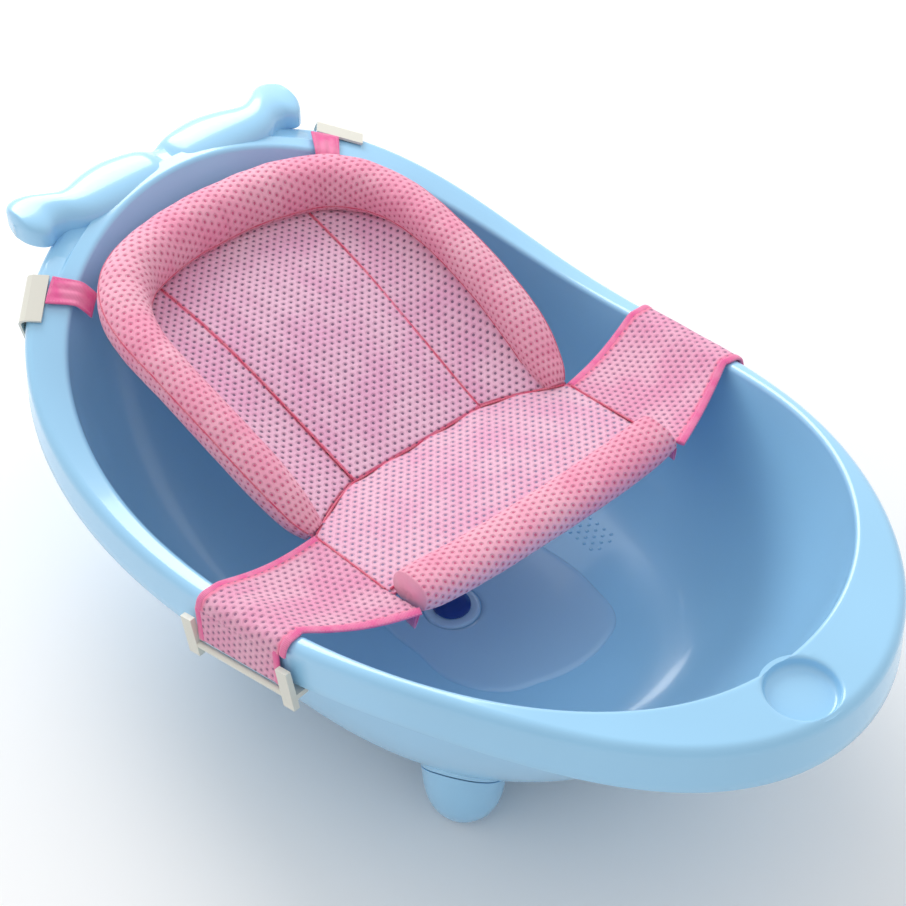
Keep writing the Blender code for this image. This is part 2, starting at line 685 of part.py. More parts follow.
def hook_flap(matrix, half, side, name):
    """The end of the wing that hangs outside the skirt and carries the hook's bar in its hem."""
    reach = half - HOOK_POST_WIDTH - HOOK_POST_INSET
    hem = -HOOK_BAR_DROP + HOOK_BAR_RADIUS + 0.0005
    grid = []
    for along in np.linspace(-reach, reach, 9):
        low = np.array(matrix @ Vector((along, 0.0002, hem)))
        theta = theta_at(low[0], side)
        top = matrix.inverted() @ Vector(beside_rim(theta, band_width(theta) + 0.0028, -0.0080))
        top = np.array(matrix @ Vector((along, top.y, top.z)))
        grid.append([top + (low - top) * part for part in np.linspace(0, 1, 5)])
    slab("wing_flap_" + name, grid, 0.0009, MESH_PINK, origin=tuple(matrix.translation))


STRAP_THETA = {"left": 2.685, "right": 2.615}
STRAP_HALF_WIDTH = 0.0115
CLIP_TO_TAIL = {"left": 0.0065, "right": 0.0125}
CLIP_TO_FRONT = {"left": 0.0310, "right": 0.0260}
CLIP_REACH = 0.0130


def strap(theta, name):
    """A top strap that runs from the bolster over the rim to its clip."""
    width = band_width(theta)
    stations = ((-0.0150, -0.0080), (-0.009, -0.0015), (-0.003, 0.0030), (0.006, 0.0038), (width * 0.35, 0.0038),
                (width - CLIP_REACH - 0.0042, 0.0038))
    grid = []
    for across in np.linspace(-1, 1, 5):
        station = theta_beside(theta, across * STRAP_HALF_WIDTH)
        grid.append([beside_rim(station, out, up) for out, up in stations])
    slab("sling_top_strap_" + name, grid, 0.0008, TAPE_PINK)


def strap_clip(theta, side, name):
    """The clip that lies on the rim and grips under the skirt, hinged where the strap holds it."""
    ends = []
    for distance in (CLIP_TO_TAIL[name], -CLIP_TO_FRONT[name]):
        station = theta_beside(theta, side * distance)
        ends.append(beside_rim(station, band_width(station) - CLIP_REACH, 0.0022))
    matrix, half = frame_along(ends[0], ends[1], side)
    lip = -skirt_depth(theta) - 0.0085
    edge = CLIP_REACH
    outline = ((-0.0015, -0.0008), (-0.0015, 0.0016), (edge - 0.0010, 0.0016), (edge + 0.0035, -0.0006),
               (edge + 0.0056, -0.0050), (edge + 0.0056, lip - 0.0025), (edge - 0.0070, lip - 0.0025),
               (edge - 0.0078, lip), (edge + 0.0036, lip), (edge + 0.0036, -0.0058),
               (edge + 0.0016, -0.0022), (edge - 0.0016, -0.0008))
    placed(matrix, extrude(outline, -half, half), "strap_clip_" + name)
    return matrix


def sling_fittings():
    for side, name in ((1, "left"), (-1, "right")):
        matrix, half = side_hook(side, name)
        hook_flap(matrix, half, side, name)
        strap(side * STRAP_THETA[name], name)
        strap_clip(side * STRAP_THETA[name], side, name)


def build():
    clear_scene()
    tub_shell()
    drain()
    back_panels()
    bolster()
    seat_panel()
    front_roll()
    wings()
    sling_fittings()


build()
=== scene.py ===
"""Baby bathtub with a hanging mesh bath sling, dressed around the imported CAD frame.

The layout's origin is the middle of the rim, as in the CAD: SHIFT moves it to the frame. +X runs from
the tail handle to the wide front deck, +Y is the tub's left side. Lengths are metres.
"""

import math

import bmesh
import bpy
import numpy as np
from mathutils import Matrix, Vector
from mathutils.bvhtree import BVHTree


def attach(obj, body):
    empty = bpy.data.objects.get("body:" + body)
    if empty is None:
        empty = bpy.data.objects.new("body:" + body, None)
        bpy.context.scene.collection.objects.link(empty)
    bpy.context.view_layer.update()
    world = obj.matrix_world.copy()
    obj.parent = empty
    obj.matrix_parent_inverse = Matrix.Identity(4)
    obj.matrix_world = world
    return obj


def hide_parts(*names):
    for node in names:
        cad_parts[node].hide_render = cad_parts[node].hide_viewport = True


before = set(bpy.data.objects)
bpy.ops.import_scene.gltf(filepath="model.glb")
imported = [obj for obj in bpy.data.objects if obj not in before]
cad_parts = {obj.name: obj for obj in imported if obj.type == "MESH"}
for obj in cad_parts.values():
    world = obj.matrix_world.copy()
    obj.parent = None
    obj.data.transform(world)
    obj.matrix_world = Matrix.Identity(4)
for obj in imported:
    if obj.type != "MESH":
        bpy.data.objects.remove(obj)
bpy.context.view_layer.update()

# The CAD's driving dimensions, first the rim's. SHEER is the rim's height, BAND its width.
RIM_HEIGHT, CENTRE_X = 0.187, 0.0047
SHIFT = np.array([CENTRE_X, 0.0, RIM_HEIGHT])
HALF_LENGTH, HALF_WIDTH, FRONT_PULL = 0.348, 0.2201, 0.0045
WIDTH_TERMS = (-0.057, 0.293, -0.083, -0.060)
SHEER_TERMS = (0.0722, 0.0679, -0.0792)
BAND_TERMS = (0.0181, -0.0110, -0.0049, -0.0166, 0.0389, 0.0289)
BAND_TAIL_TRIM, TAIL_LEDGE, TAIL_LEDGE_OUT = 0.008, 0.0055, (0.0165, 0.0205)
LIP_RADIUS, BAND_CORNER, BAND_CORNER_DROP = 0.0045, 0.008, 0.009
SKIRT_DEPTH, SKIRT_FRONT_EXTRA, SKIRT_FLARE, SKIRT_HEM = 0.0365, 0.004, 0.0022, 0.0015
WALL = 0.0032

# The floor and its relief, the deck's dish and the drain. PAD_REACH is how far the relief goes, by degrees.
FLOOR_Z, FLOOR_CENTRE_X = -0.148, 0.018
FLOOR_HALF_LENGTH, FLOOR_HALF_WIDTH = 0.160, 0.113
DISH_X, DISH_Y, DISH_RADIUS, DISH_DEPTH = 0.3690, -0.011, 0.0270, 0.009
DISH_INSET, DISH_CORNER, DISH_MOUTH = 0.006, 0.0045, 0.0028
DRAIN_X, DRAIN_Y, DRAIN_HOLE_RADIUS = 0.028, -0.022, 0.0112
PAD_HEIGHT, PAD_INNER = 0.0019, 0.0245
PAD_REACH = (
    (0, 0.105), (30, 0.128), (45, 0.134), (62, 0.118), (90, 0.102), (120, 0.100), (150, 0.106),
    (180, 0.098), (215, 0.078), (250, 0.058), (290, 0.056), (320, 0.078), (345, 0.098), (360, 0.105),
)
PAD_SHARES = (0, 0.006, 0.02, 0.05, 0.12, 0.2, 0.3, 0.4, 0.5, 0.6, 0.7, 0.8, 0.88, 0.93, 0.96, 0.985, 1.0)
DIMPLE_RADIUS, DIMPLE_HEIGHT = 0.0017, 0.0011
DIMPLE_START, DIMPLE_PITCH, DIMPLE_ROWS, DIMPLE_COLUMNS = (-0.004, 0.1085), (0.0085, 0.0058), 5, 8

# The feet: FOOT_PROFILE is radius and height.
FRONT_FOOT_XY, REAR_FOOT_XY = (0.160, 0.1225), (-0.105, 0.100)
FOOT_PROFILE = (
    (0.010, 0.0), (0.0185, 0.0025), (0.0250, 0.0085), (0.0290, 0.0180), (0.0312, 0.0300),
    (0.0325, 0.0450), (0.0333, 0.0600), (0.0337, 0.0850), (0.0337, 0.1500),
)
COLLAR_DROP, SEAM_GAP = 0.0065, 0.0010

# The tail handle's two edges as (distance from the middle, X).
FLUKE_SPAN, FLUKE_BOTTOM, FLUKE_EDGE, FLUKE_CROWN = 0.1435, 0.050, 0.061, 0.016
FLUKE_OUTER = (
    (0.000, -0.394), (0.013, -0.399), (0.030, -0.404), (0.050, -0.406), (0.070, -0.402),
    (0.087, -0.395), (0.097, -0.394), (0.108, -0.400), (0.118, -0.408), (0.127, -0.412),
    (0.135, -0.410), (0.1405, -0.402), (FLUKE_SPAN, -0.386),
)
FLUKE_INNER = (
    (0.000, -0.3465), (0.050, -0.3455), (0.080, -0.346), (0.095, -0.350), (0.108, -0.358), (0.118, -0.360),
    (0.126, -0.356), (0.132, -0.357), (0.138, -0.364), (0.142, -0.374), (FLUKE_SPAN, -0.386),
)

# The sling. BOLSTER_PATH is X, Y, the bolster's radius and its height above the back's plane.
BOLSTER_PATH = (
    (-0.013, 0.124, 0.005, 0.010), (-0.028, 0.128, 0.010, 0.016), (-0.060, 0.133, 0.0145, 0.027),
    (-0.110, 0.137, 0.0160, 0.034), (-0.165, 0.1385, 0.0170, 0.035), (-0.213, 0.1365, 0.0190, 0.031),
    (-0.252, 0.1255, 0.0210, 0.026), (-0.281, 0.103, 0.0225, 0.022), (-0.297, 0.071, 0.0230, 0.019),
    (-0.305, 0.035, 0.0230, 0.0175), (-0.307, 0.000, 0.0230, 0.017),
)
BOLSTER_ARM_X = (-0.20, -0.10, -0.06, -0.028, -0.013)
BOLSTER_ARM_EXTRA = (0.0, 0.0020, 0.0030, 0.0042, 0.0040)
BACK_SLOPE, BACK_TOP_X, CREASE_X, CREASE_Z = 0.21, -0.305, -0.038, -0.025
CREASE_SWEEP, CREASE_RISE = 0.033, 0.010
BACK_LIFT_X = (-0.300, -0.285, -0.262, -0.225, -0.190, -0.150, -0.110, -0.070, CREASE_X)
BACK_LIFT = (0.000, 0.001, 0.004, 0.008, 0.0095, 0.0085, 0.0060, 0.0030, 0.0010)
GAP = 0.0015
SEAT_FRONT_X, SEAT_FRONT_Z, SEAT_HALF_WIDTH = 0.080, -0.002, 0.128
SEAT_EDGE_Y = SEAT_HALF_WIDTH + 0.0022
ROLL_X, ROLL_Z, ROLL_HALF_LENGTH, ROLL_END_RISE = 0.1035, 0.003, 0.1262, 0.010
ROLL_HALF_DEPTH, ROLL_HALF_HEIGHT = 0.0206, 0.0137
TAB_HALF_WIDTH, TAB_DROP = 0.0062, 0.014
WING_SEAT_X = (-0.001, 0.1215)
WING_RIM_X = {"left": (-0.022, 0.0870), "right": (0.001, 0.0890)}
BINDING_SIZE = (0.0034, 0.0014)
PANEL_HALF, WING_HALF, STRAP_HALF, TAB_HALF = 0.0009, 0.0007, 0.0008, 0.00045

# The hooks, the straps and their clips. STRAP_THETA is where each strap crosses the rim.
HOOK_AXIS_OUT, HOOK_AXIS_DROP = 0.0050, 0.0075
HOOK_BAR_DROP, HOOK_BAR_RADIUS = 0.0345, 0.0028
HOOK_POST_WIDTH, HOOK_POST_INSET = 0.0115, 0.0015
STRAP_THETA = {"left": 2.685, "right": 2.615}
STRAP_HALF_WIDTH, CLIP_REACH = 0.0115, 0.0130
SIDES = (("left", 1), ("right", -1))

# The mesh fabric: its holes' spacing along and between the columns, the columns' direction in plan, where a
# hole's colour fades out and in, where its relief does, and the knit's radians per metre.
HOLE_PITCH, COLUMN_PITCH = 0.0064, 0.0058
COLUMN_TURN = math.radians(139.5)
HOLE_FADE, HOLE_RELIEF = (0.00140, 0.00100), (0.0011, 0.0026)
KNIT = 5200.0

# The camera's place and lens, and the direction that the studio is brightest in.
CAMERA_TURN, CAMERA_RISE, CAMERA_ROLL = math.radians(49.44), math.radians(44.603), math.radians(-0.12)
CAMERA_DISTANCE, CAMERA_AIM = 1.565565, (0.0064989, -0.0018705, 0.0)
CAMERA_SENSOR, CAMERA_LENS = 36.0, 80.16
SKY_DIRECTION = (-0.62, 0.35, 0.70)
FLOOR_HALF_SIZE, FLOOR_DROP = 6, 0.0005


# Materials.

def colour(red, green, blue):
    """A linear colour from 0 to 255 sRGB numbers."""
    def linear(value):
        value /= 255
        return value / 12.92 if value <= 0.04045 else ((value + 0.055) / 1.055) ** 2.4
    return (linear(red), linear(green), linear(blue), 1.0)


def toward(tint, goal, share):
    """A colour moved part of the way to black, 0, or to white, 1."""
    return tuple(channel + (goal - channel) * share for channel in tint[:3]) + (1.0,)


class Graph:
    """Short calls that build one material's nodes."""

    def __init__(self, name, roughness):
        self.material = bpy.data.materials.new(name)
        self.material.use_nodes = True
        self.tree = self.material.node_tree
        self.shader = self.tree.nodes["Principled BSDF"]
        self.shader.inputs["Roughness"].default_value = roughness
        self.place = self.node("TexCoord").outputs["Object"]

    def node(self, kind, **settings):
        made = self.tree.nodes.new("ShaderNode" + kind)
        for name, value in settings.items():
            setattr(made, name, value)
        return made

    def put(self, socket, value):
        if isinstance(value, bpy.types.NodeSocket):
            self.tree.links.new(value, socket)
        else:
            socket.default_value = value

    def math(self, operation, *values):
        made = self.node("Math", operation=operation)
        for socket, value in zip(made.inputs, values):
            self.put(socket, value)
        return made.outputs[0]

    def mix(self, factor, first, second, blend="MIX"):
        made = self.node("Mix", data_type="RGBA", blend_type=blend)
        for index, value in ((0, factor), (6, first), (7, second)):
            self.put(made.inputs[index], value)
        return made.outputs[2]

    def step(self, value, low, high, to_low=0.0, to_high=1.0):
        made = self.node("MapRange", interpolation_type="SMOOTHSTEP")
        for index, number in enumerate((value, low, high, to_low, to_high)):
            self.put(made.inputs[index], number)
        return made.outputs[0]

    def noise(self, scale, detail=3.0, vector=None):
        made = self.node("TexNoise")
        self.put(made.inputs["Vector"], self.place if vector is None else vector)
        made.inputs["Scale"].default_value = scale
        made.inputs["Detail"].default_value = detail
        return made.outputs["Fac"]

    def cloth(self):
        """The cloth's own coordinates in metres: along the weft, along the warp, and a free one."""
        found = self.node("Attribute", attribute_name="cloth").outputs["Vector"]
        split = self.node("SeparateXYZ")
        self.put(split.inputs[0], found)
        return found, split.outputs[0], split.outputs[1], split.outputs[2]

    def bump(self, height, distance, strength=1.0, normal=None):
        made = self.node("Bump")
        made.inputs["Strength"].default_value = strength
        made.inputs["Distance"].default_value = distance
        self.put(made.inputs["Height"], height)
        if normal is not None:
            self.put(made.inputs["Normal"], normal)
        return made.outputs["Normal"]

    def finish(self, base, normal=None, roughness=None, **constants):
        self.put(self.shader.inputs["Base Color"], base)
        if normal is not None:
            self.put(self.shader.inputs["Normal"], normal)
        if roughness is not None:
            self.put(self.shader.inputs["Roughness"], roughness)
        for name, value in constants.items():
            self.shader.inputs[name.replace("_", " ")].default_value = value
        return self.material


def plastic(name, tint, roughness, coat, waviness=0.0002, grain=0.000008):
    """Glossy moulded plastic with slow surface waves, fine grain and slight tonal drift."""
    graph = Graph(name, roughness)
    drift = graph.noise(5.0, 2.0)
    base = graph.mix(graph.step(drift, 0.35, 0.65), toward(tint, 0, 0.05), tint)
    smudge = graph.noise(9.0, 2.0)
    rough = graph.step(smudge, 0.2, 0.8, roughness * 0.92, roughness * 1.1)
    waves = graph.bump(graph.noise(11.0, 0.0), waviness)
    fine = graph.bump(graph.noise(2200.0, 1.0), grain, normal=waves)
    return graph.finish(base, fine, rough, Coat_Weight=coat, Coat_Roughness=0.08, IOR=1.5)


def mesh_fabric(name, tint, edge_tint, hole_shade_tint, hole, margin):
    """Air mesh: staggered round holes between knitted ribs; edge_tint shows within margin of the border.
    The holes are not cut; their colour is painted shade with the colour of what lies behind them.
    """
    graph = Graph(name, 0.75)
    vector, weft, warp, border = graph.cloth()
    column = graph.math("DIVIDE", weft, COLUMN_PITCH)
    whole = graph.math("FLOOR", column)
    stagger = graph.math("MULTIPLY", graph.math("FLOORED_MODULO", whole, 2.0), 0.5)
    row = graph.math("ADD", graph.math("DIVIDE", warp, HOLE_PITCH), stagger)
    squares = []
    for place, pitch in ((column, COLUMN_PITCH), (row, HOLE_PITCH)):
        offset = graph.math("MULTIPLY", graph.math("SUBTRACT", graph.math("FRACT", place), 0.5), pitch)
        squares.append(graph.math("MULTIPLY", offset, offset))
    distance = graph.math("SQRT", graph.math("ADD", *squares))
    wobble = graph.math("MULTIPLY", graph.math("SUBTRACT", graph.noise(260.0, 2.0, vector), 0.5), 0.0008)
    reach = graph.math("ADD", distance, wobble)
    open_part = graph.step(reach, *(hole * edge for edge in HOLE_FADE))
    rib = graph.step(reach, *(hole * edge for edge in HOLE_RELIEF))
    thread = graph.math("SINE", graph.math("MULTIPLY", graph.math("ADD", weft, warp), KNIT))
    cross = graph.math("SINE", graph.math("MULTIPLY", graph.math("SUBTRACT", weft, warp), KNIT))
    threads = graph.math("MULTIPLY", thread, cross)
    tone = graph.step(graph.noise(24.0, 3.0, vector), 0.3, 0.7)
    plain = graph.mix(tone, tint, toward(tint, 1, 0.22))
    plain = graph.mix(graph.step(border, margin, 0.001), plain, edge_tint)
    knit = graph.mix(graph.step(threads, -0.9, 0.9, 0.28, 0.0), plain, toward(edge_tint, 0, 0.20))
    # Paints the holes' shade, with the colour of what lies behind them, as dots on the solid fabric.
    base = graph.mix(graph.math("MULTIPLY", open_part, 0.92), knit, hole_shade_tint)
    relief = graph.bump(rib, 0.0009)
    fine = graph.bump(threads, 0.00008, normal=relief)
    return graph.finish(base, fine, Sheen_Weight=0.25, Sheen_Roughness=0.5)


def tape_fabric(name, tint, rib=0.0011):
    """Woven tape: fine ribs across it, with a row of stitches near each edge."""
    stitch_pitch, stitch_inset = 0.0028, 0.0022
    graph = Graph(name, 0.7)
    vector, weft, warp, border = graph.cloth()
    ribs = graph.math("SINE", graph.math("MULTIPLY", warp, 2 * math.pi / rib))
    pale = toward(tint, 1, 0.18)
    tone = graph.mix(graph.step(graph.noise(60.0, 3.0, vector), 0.3, 0.7), tint, pale)
    plain = graph.mix(graph.step(ribs, -1.0, 1.0, 0.35, 0.0), tone, toward(tint, 0, 0.28))
    dash = graph.step(graph.math("FRACT", graph.math("DIVIDE", warp, stitch_pitch)), 0.62, 0.72, 1.0, 0.0)
    off_line = graph.math("ABSOLUTE", graph.math("SUBTRACT", border, stitch_inset))
    line = graph.step(off_line, 0.0003, 0.0006, 1.0, 0.0)
    stitch = graph.math("MULTIPLY", dash, line)
    base = graph.mix(graph.math("MULTIPLY", stitch, 0.6), plain, pale)
    height = graph.math("ADD", graph.math("MULTIPLY", ribs, 0.25), graph.math("MULTIPLY", line, -0.5))
    height = graph.math("ADD", height, stitch)
    return graph.finish(base, graph.bump(height, 0.00022), Sheen_Weight=0.35, Sheen_Roughness=0.4)


# Each mesh's own colour, its holes' colour (painted shade with the colour of what lies behind them), its
# holes' size and its coloured margin.
MESHES = {
    "back": ((236, 178, 214), (104, 72, 108), 1.0, 0.002),
    "seat": ((240, 178, 212), (124, 108, 150), 0.95, 0.002),
    "bolster": ((252, 160, 192), (206, 78, 124), 0.92, 0.008),
    "wing": ((238, 158, 196), (140, 86, 126), 1.0, 0.006),
}
MESH_EDGE = colour(247, 122, 164)
MATERIALS = {
    "tub": plastic("tub_blue_plastic", colour(158, 212, 247), 0.24, 0.45),
    # The relief's paler colour is a painted sheen; it is moulded in the tub's own plastic.
    "pad": plastic("floor_pad_painted_sheen", colour(168, 208, 240), 0.30, 0.3),
    "ring": plastic("drain_seat_plastic", colour(188, 214, 240), 0.28, 0.3),
    "plug": plastic("drain_plug_plastic", colour(26, 62, 138), 0.16, 0.6),
    "grey": plastic("clip_grey_plastic", colour(224, 223, 212), 0.42, 0.1, 0.0001, 0.00005),
    "tape": tape_fabric("binding_tape", colour(238, 92, 158)),
    "seam": tape_fabric("seam_piping", colour(216, 66, 108), 0.0022),
}
for mesh_name, (mesh_tint, hole_shade_tint, hole_size, mesh_margin) in MESHES.items():
    MATERIALS[mesh_name + "_mesh"] = mesh_fabric(
        mesh_name + "_mesh", colour(*mesh_tint), MESH_EDGE, colour(*hole_shade_tint), hole_size, mesh_margin)


# The rim's shape. theta is 0 at the front, 180 degrees at the tail, and positive on the left.

def polynomial(terms, value, first_power):
    return sum(term * value ** (power + first_power) for power, term in enumerate(terms))


def rim_point(theta):
    """The inner edge of the rim."""
    along = math.cos(theta)
    widen = 1.0 + polynomial(WIDTH_TERMS, along, 1)
    pull = FRONT_PULL * max(0.0, along) ** 10
    height = polynomial(SHEER_TERMS, along, 1)
    return np.array([HALF_LENGTH * along - pull, HALF_WIDTH * math.sin(theta) * widen, height])


def rim_direction(theta):
    """The way along the rim's inner edge, in metres per radian."""
    step = 1e-4
    return (rim_point(theta + step) - rim_point(theta - step)) / (2 * step)


def rim_normal(theta):
    along = rim_direction(theta)
    normal = np.array([along[1], -along[0], 0.0])
    return normal / np.linalg.norm(normal)


def band_width(theta):
    along = math.cos(theta)
    trim = BAND_TAIL_TRIM * max(0.0, -along) ** 6
    return polynomial(BAND_TERMS, along, 0) - trim + FRONT_PULL * max(0.0, along) ** 10


def skirt_depth(theta):
    return SKIRT_DEPTH + SKIRT_FRONT_EXTRA * max(0.0, math.cos(theta)) ** 4


def beside_rim(theta, out, up):
    return rim_point(theta) + rim_normal(theta) * out + np.array([0.0, 0.0, up])


def theta_beside(theta, distance):
    return theta + distance / np.linalg.norm(rim_direction(theta))


def theta_at(x, side):
    return side * math.acos(max(-1.0, min(1.0, x / HALF_LENGTH)))


def floor_point(theta, grow):
    x = FLOOR_CENTRE_X + (FLOOR_HALF_LENGTH + grow) * math.cos(theta)
    return np.array([x, (FLOOR_HALF_WIDTH + grow) * math.sin(theta), FLOOR_Z])


def wall_point(theta, part, out, drop):
    """A point on the wall's curve: part is 0 on the floor's edge and 1 at the rim."""
    rim = rim_point(theta) + rim_normal(theta) * out
    base = floor_point(theta, out)
    left = 1.0 - part
    side = math.sin(theta) ** 2
    reach = 3 * left * left * part * (0.42 + 0.26 * side) + 3 * left * part * part * (0.82 + 0.11 * side)
    rise = 3 * left * part * part * (0.52 - 0.16 * side) + part ** 3
    point = base + (rim - base) * (reach + part ** 3)
    point[2] = FLOOR_Z - drop + (rim[2] - 0.004 - FLOOR_Z + drop) * rise
    return point


# Mesh building.

def add_mesh(name, vertices, faces, cloth=None):
    """One smooth object from layout points; cloth gives each point its fabric coordinates."""
    mesh = bpy.data.meshes.new(name)
    mesh.from_pydata([tuple(point) for point in np.asarray(vertices, float) + SHIFT], [], faces)
    if cloth is not None:
        layer = mesh.attributes.new("cloth", "FLOAT_VECTOR", "POINT")
        layer.data.foreach_set("vector", np.asarray(cloth, np.float32).ravel())
    clean = bmesh.new()
    clean.from_mesh(mesh)
    bmesh.ops.recalc_face_normals(clean, faces=clean.faces)
    clean.to_mesh(mesh)
    clean.free()
    mesh.polygons.foreach_set("use_smooth", [True] * len(mesh.polygons))
    obj = bpy.data.objects.new(name, mesh)
    bpy.context.scene.collection.objects.link(obj)
    return obj


def ring_faces(rows, columns, joined=False):
    """Quads between closed rings of points; joined also closes the last ring to the first."""
    faces = []
    for row in range(rows if joined else rows - 1):
        for column in range(columns):
            after = (column + 1) % columns
            below = (row + 1) % rows
            faces.append((row * columns + column, row * columns + after,
                          below * columns + after, below * columns + column))
    return faces


def capped(rings, cloth=None):
    """Vertices, faces and cloth coordinates of rings joined in order and closed at both ends."""
    rings = np.asarray(rings, float)
    rows, columns = rings.shape[:2]
    vertices = np.vstack([rings.reshape(-1, 3), rings[0].mean(0), rings[-1].mean(0)])
    faces = ring_faces(rows, columns)
    first = rows * columns
    for column in range(columns):
        after = (column + 1) % columns
        faces.append((first, after, column))
        faces.append((first + 1, (rows - 1) * columns + column, (rows - 1) * columns + after))
    if cloth is None:
        return vertices, faces, None
    cloth = np.asarray(cloth, float)
    return vertices, faces, np.vstack([cloth.reshape(-1, 3), cloth[0].mean(0), cloth[-1].mean(0)])


def around(centre, radius, turns, height):
    """Points round a centre; radius and height are one number, or one for each turn."""
    points = np.zeros((len(turns), 3))
    points[:, 0] = centre[0] + radius * np.cos(turns)
    points[:, 1] = centre[1] + radius * np.sin(turns)
    points[:, 2] = height
    return points


def full_turn(sides):
    return np.linspace(0, 2 * math.pi, sides, endpoint=False)


def lathe(profile, centre, sides):
    turns = full_turn(sides)
    return capped([around(centre, radius, turns, height) for radius, height in profile])[:2]


def joined_bodies(bodies):
    """Several (vertices, faces, cloth) bodies as one."""
    vertices, faces, cloth, first = [], [], [], 0
    for points, quads, coordinates in bodies:
        vertices.append(points)
        cloth.append(coordinates)
        faces += [tuple(first + index for index in face) for face in quads]
        first += len(points)
    return np.vstack(vertices), faces, np.vstack(cloth)


def piece(obj, body, slot, material, *replaced):
    """Gives a finished object its material and its body, and hides the CAD nodes it stands for; slot is not
    used.
    """
    obj.data.materials.clear()
    obj.data.materials.append(MATERIALS[material])
    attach(obj, body)
    if replaced:
        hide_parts(*replaced)
    return obj


def smooth_path(points, count):
    """A smooth curve through the points, evenly numbered."""
    points = np.array(points, dtype=float)
    padded = np.vstack([2 * points[0] - points[1], points, 2 * points[-1] - points[-2]])
    found = []
    for value in np.linspace(0, len(points) - 1, count):
        index = min(int(value), len(points) - 2)
        t = value - index
        p0, p1, p2, p3 = padded[index:index + 4]
        found.append(0.5 * (2 * p1 + (p2 - p0) * t + (2 * p0 - 5 * p1 + 4 * p2 - p3) * t * t
                            + (3 * p1 - p0 - 3 * p2 + p3) * t ** 3))
    return np.array(found)


def lengths_along(path):
    steps = np.linalg.norm(np.diff(path, axis=0), axis=1)
    return np.concatenate([[0.0], np.cumsum(steps)])


# The tub.

def smooth_step(value, low, high):
    part = min(1.0, max(0.0, (value - low) / (high - low)))
    return part * part * (3 - 2 * part)


def tub_section(theta):
    """One section of the tub from the drain hole's edge over the rim and back underneath."""
    width, depth = band_width(theta), skirt_depth(theta)
    drain = np.array([DRAIN_X + DRAIN_HOLE_RADIUS * math.cos(theta),
                      DRAIN_Y + DRAIN_HOLE_RADIUS * math.sin(theta), FLOOR_Z])
    edge = floor_point(theta, 0.0)
    points = [drain * (1 - s) + edge * s for s in (0.0, 0.2, 0.45, 0.7, 0.88)]
    points += [wall_point(theta, part, 0.0, 0.0) for part in np.linspace(0, 0.95, 30)]
    beside = []
    for turn in np.linspace(0, math.pi / 2, 7):
        beside.append((LIP_RADIUS * (1 - math.cos(turn)), -LIP_RADIUS * (1 - math.sin(turn))))
    ledge = TAIL_LEDGE * smooth_step(-math.cos(theta), 0.86, 0.95)
    for part in np.linspace(0, 1, 26)[1:-1]:
        out = LIP_RADIUS + (width - LIP_RADIUS - BAND_CORNER) * part
        beside.append((out, -ledge * smooth_step(out, *TAIL_LEDGE_OUT)))
    for turn in np.linspace(0, math.pi / 2, 8):
        beside.append((width - BAND_CORNER * (1 - math.sin(turn)),
                       -ledge - (BAND_CORNER_DROP - ledge) * (1 - math.cos(turn))))
    for part in (0.25, 0.5, 0.75):
        beside.append((width + SKIRT_FLARE * part,
                       -BAND_CORNER_DROP - (depth - BAND_CORNER_DROP - SKIRT_HEM) * part))
    beside += [(width + SKIRT_FLARE, -depth + 0.0012), (width + SKIRT_FLARE - 0.0004, -depth + 0.0003),
               (width + SKIRT_FLARE - 0.0011, -depth), (width + 0.0002, -depth + 0.0003),
               (width - WALL * 0.6, -depth * 0.6), (width - WALL, -0.012), (width - 0.0055, -0.0055),
               (width - 0.009, -0.0038), (WALL + 0.004, -0.0038)]
    points += [beside_rim(theta, out, up) for out, up in beside]
    points += [wall_point(theta, part, WALL, WALL) for part in np.linspace(0.96, 0, 24)]
    under = floor_point(theta, WALL)
    under[2] -= WALL
    low = drain - np.array([0.0, 0.0, WALL])
    points += [under * (1 - s) + low * s for s in (0.3, 0.65, 1.0)]
    return points


def boolean(obj, tool, operation):
    """Adds the tool to the object or takes it away, and keeps the result as the object's own mesh."""
    modifier = obj.modifiers.new(operation.lower(), "BOOLEAN")
    modifier.operation = operation
    modifier.solver = "EXACT"
    modifier.object = tool
    bpy.context.view_layer.update()
    mesh = bpy.data.meshes.new_from_object(obj.evaluated_get(bpy.context.evaluated_depsgraph_get()))
    obj.modifiers.remove(modifier)
    obj.data = mesh
    bpy.data.objects.remove(tool, do_unlink=True)


def sharpen(obj, degrees):
    """Smooth shading that breaks only at edges steeper than this."""
    shaped = bmesh.new()
    shaped.from_mesh(obj.data)
    limit = math.radians(degrees)
    for edge in shaped.edges:
        edge.smooth = len(edge.link_faces) != 2 or edge.calc_face_angle(0.0) < limit
    shaped.to_mesh(obj.data)
    shaped.free()
    obj.data.polygons.foreach_set("use_smooth", [True] * len(obj.data.polygons))


def tub_body():
    """The moulded tub as one body; gives back its surface for the pieces that lie on it."""
    sections = [tub_section(theta) for theta in full_turn(256)]
    rings = np.array(sections).transpose(1, 0, 2)
    points, faces = rings.reshape(-1, 3), ring_faces(*rings.shape[:2], joined=True)
    body = add_mesh("tub_body", points, faces)
    press_dish(body)
    sharpen(body, 42)
    piece(body, "tub", "tub_plastic", "tub", "tub_shell")
    return BVHTree.FromPolygons([Vector(point) for point in points], faces)


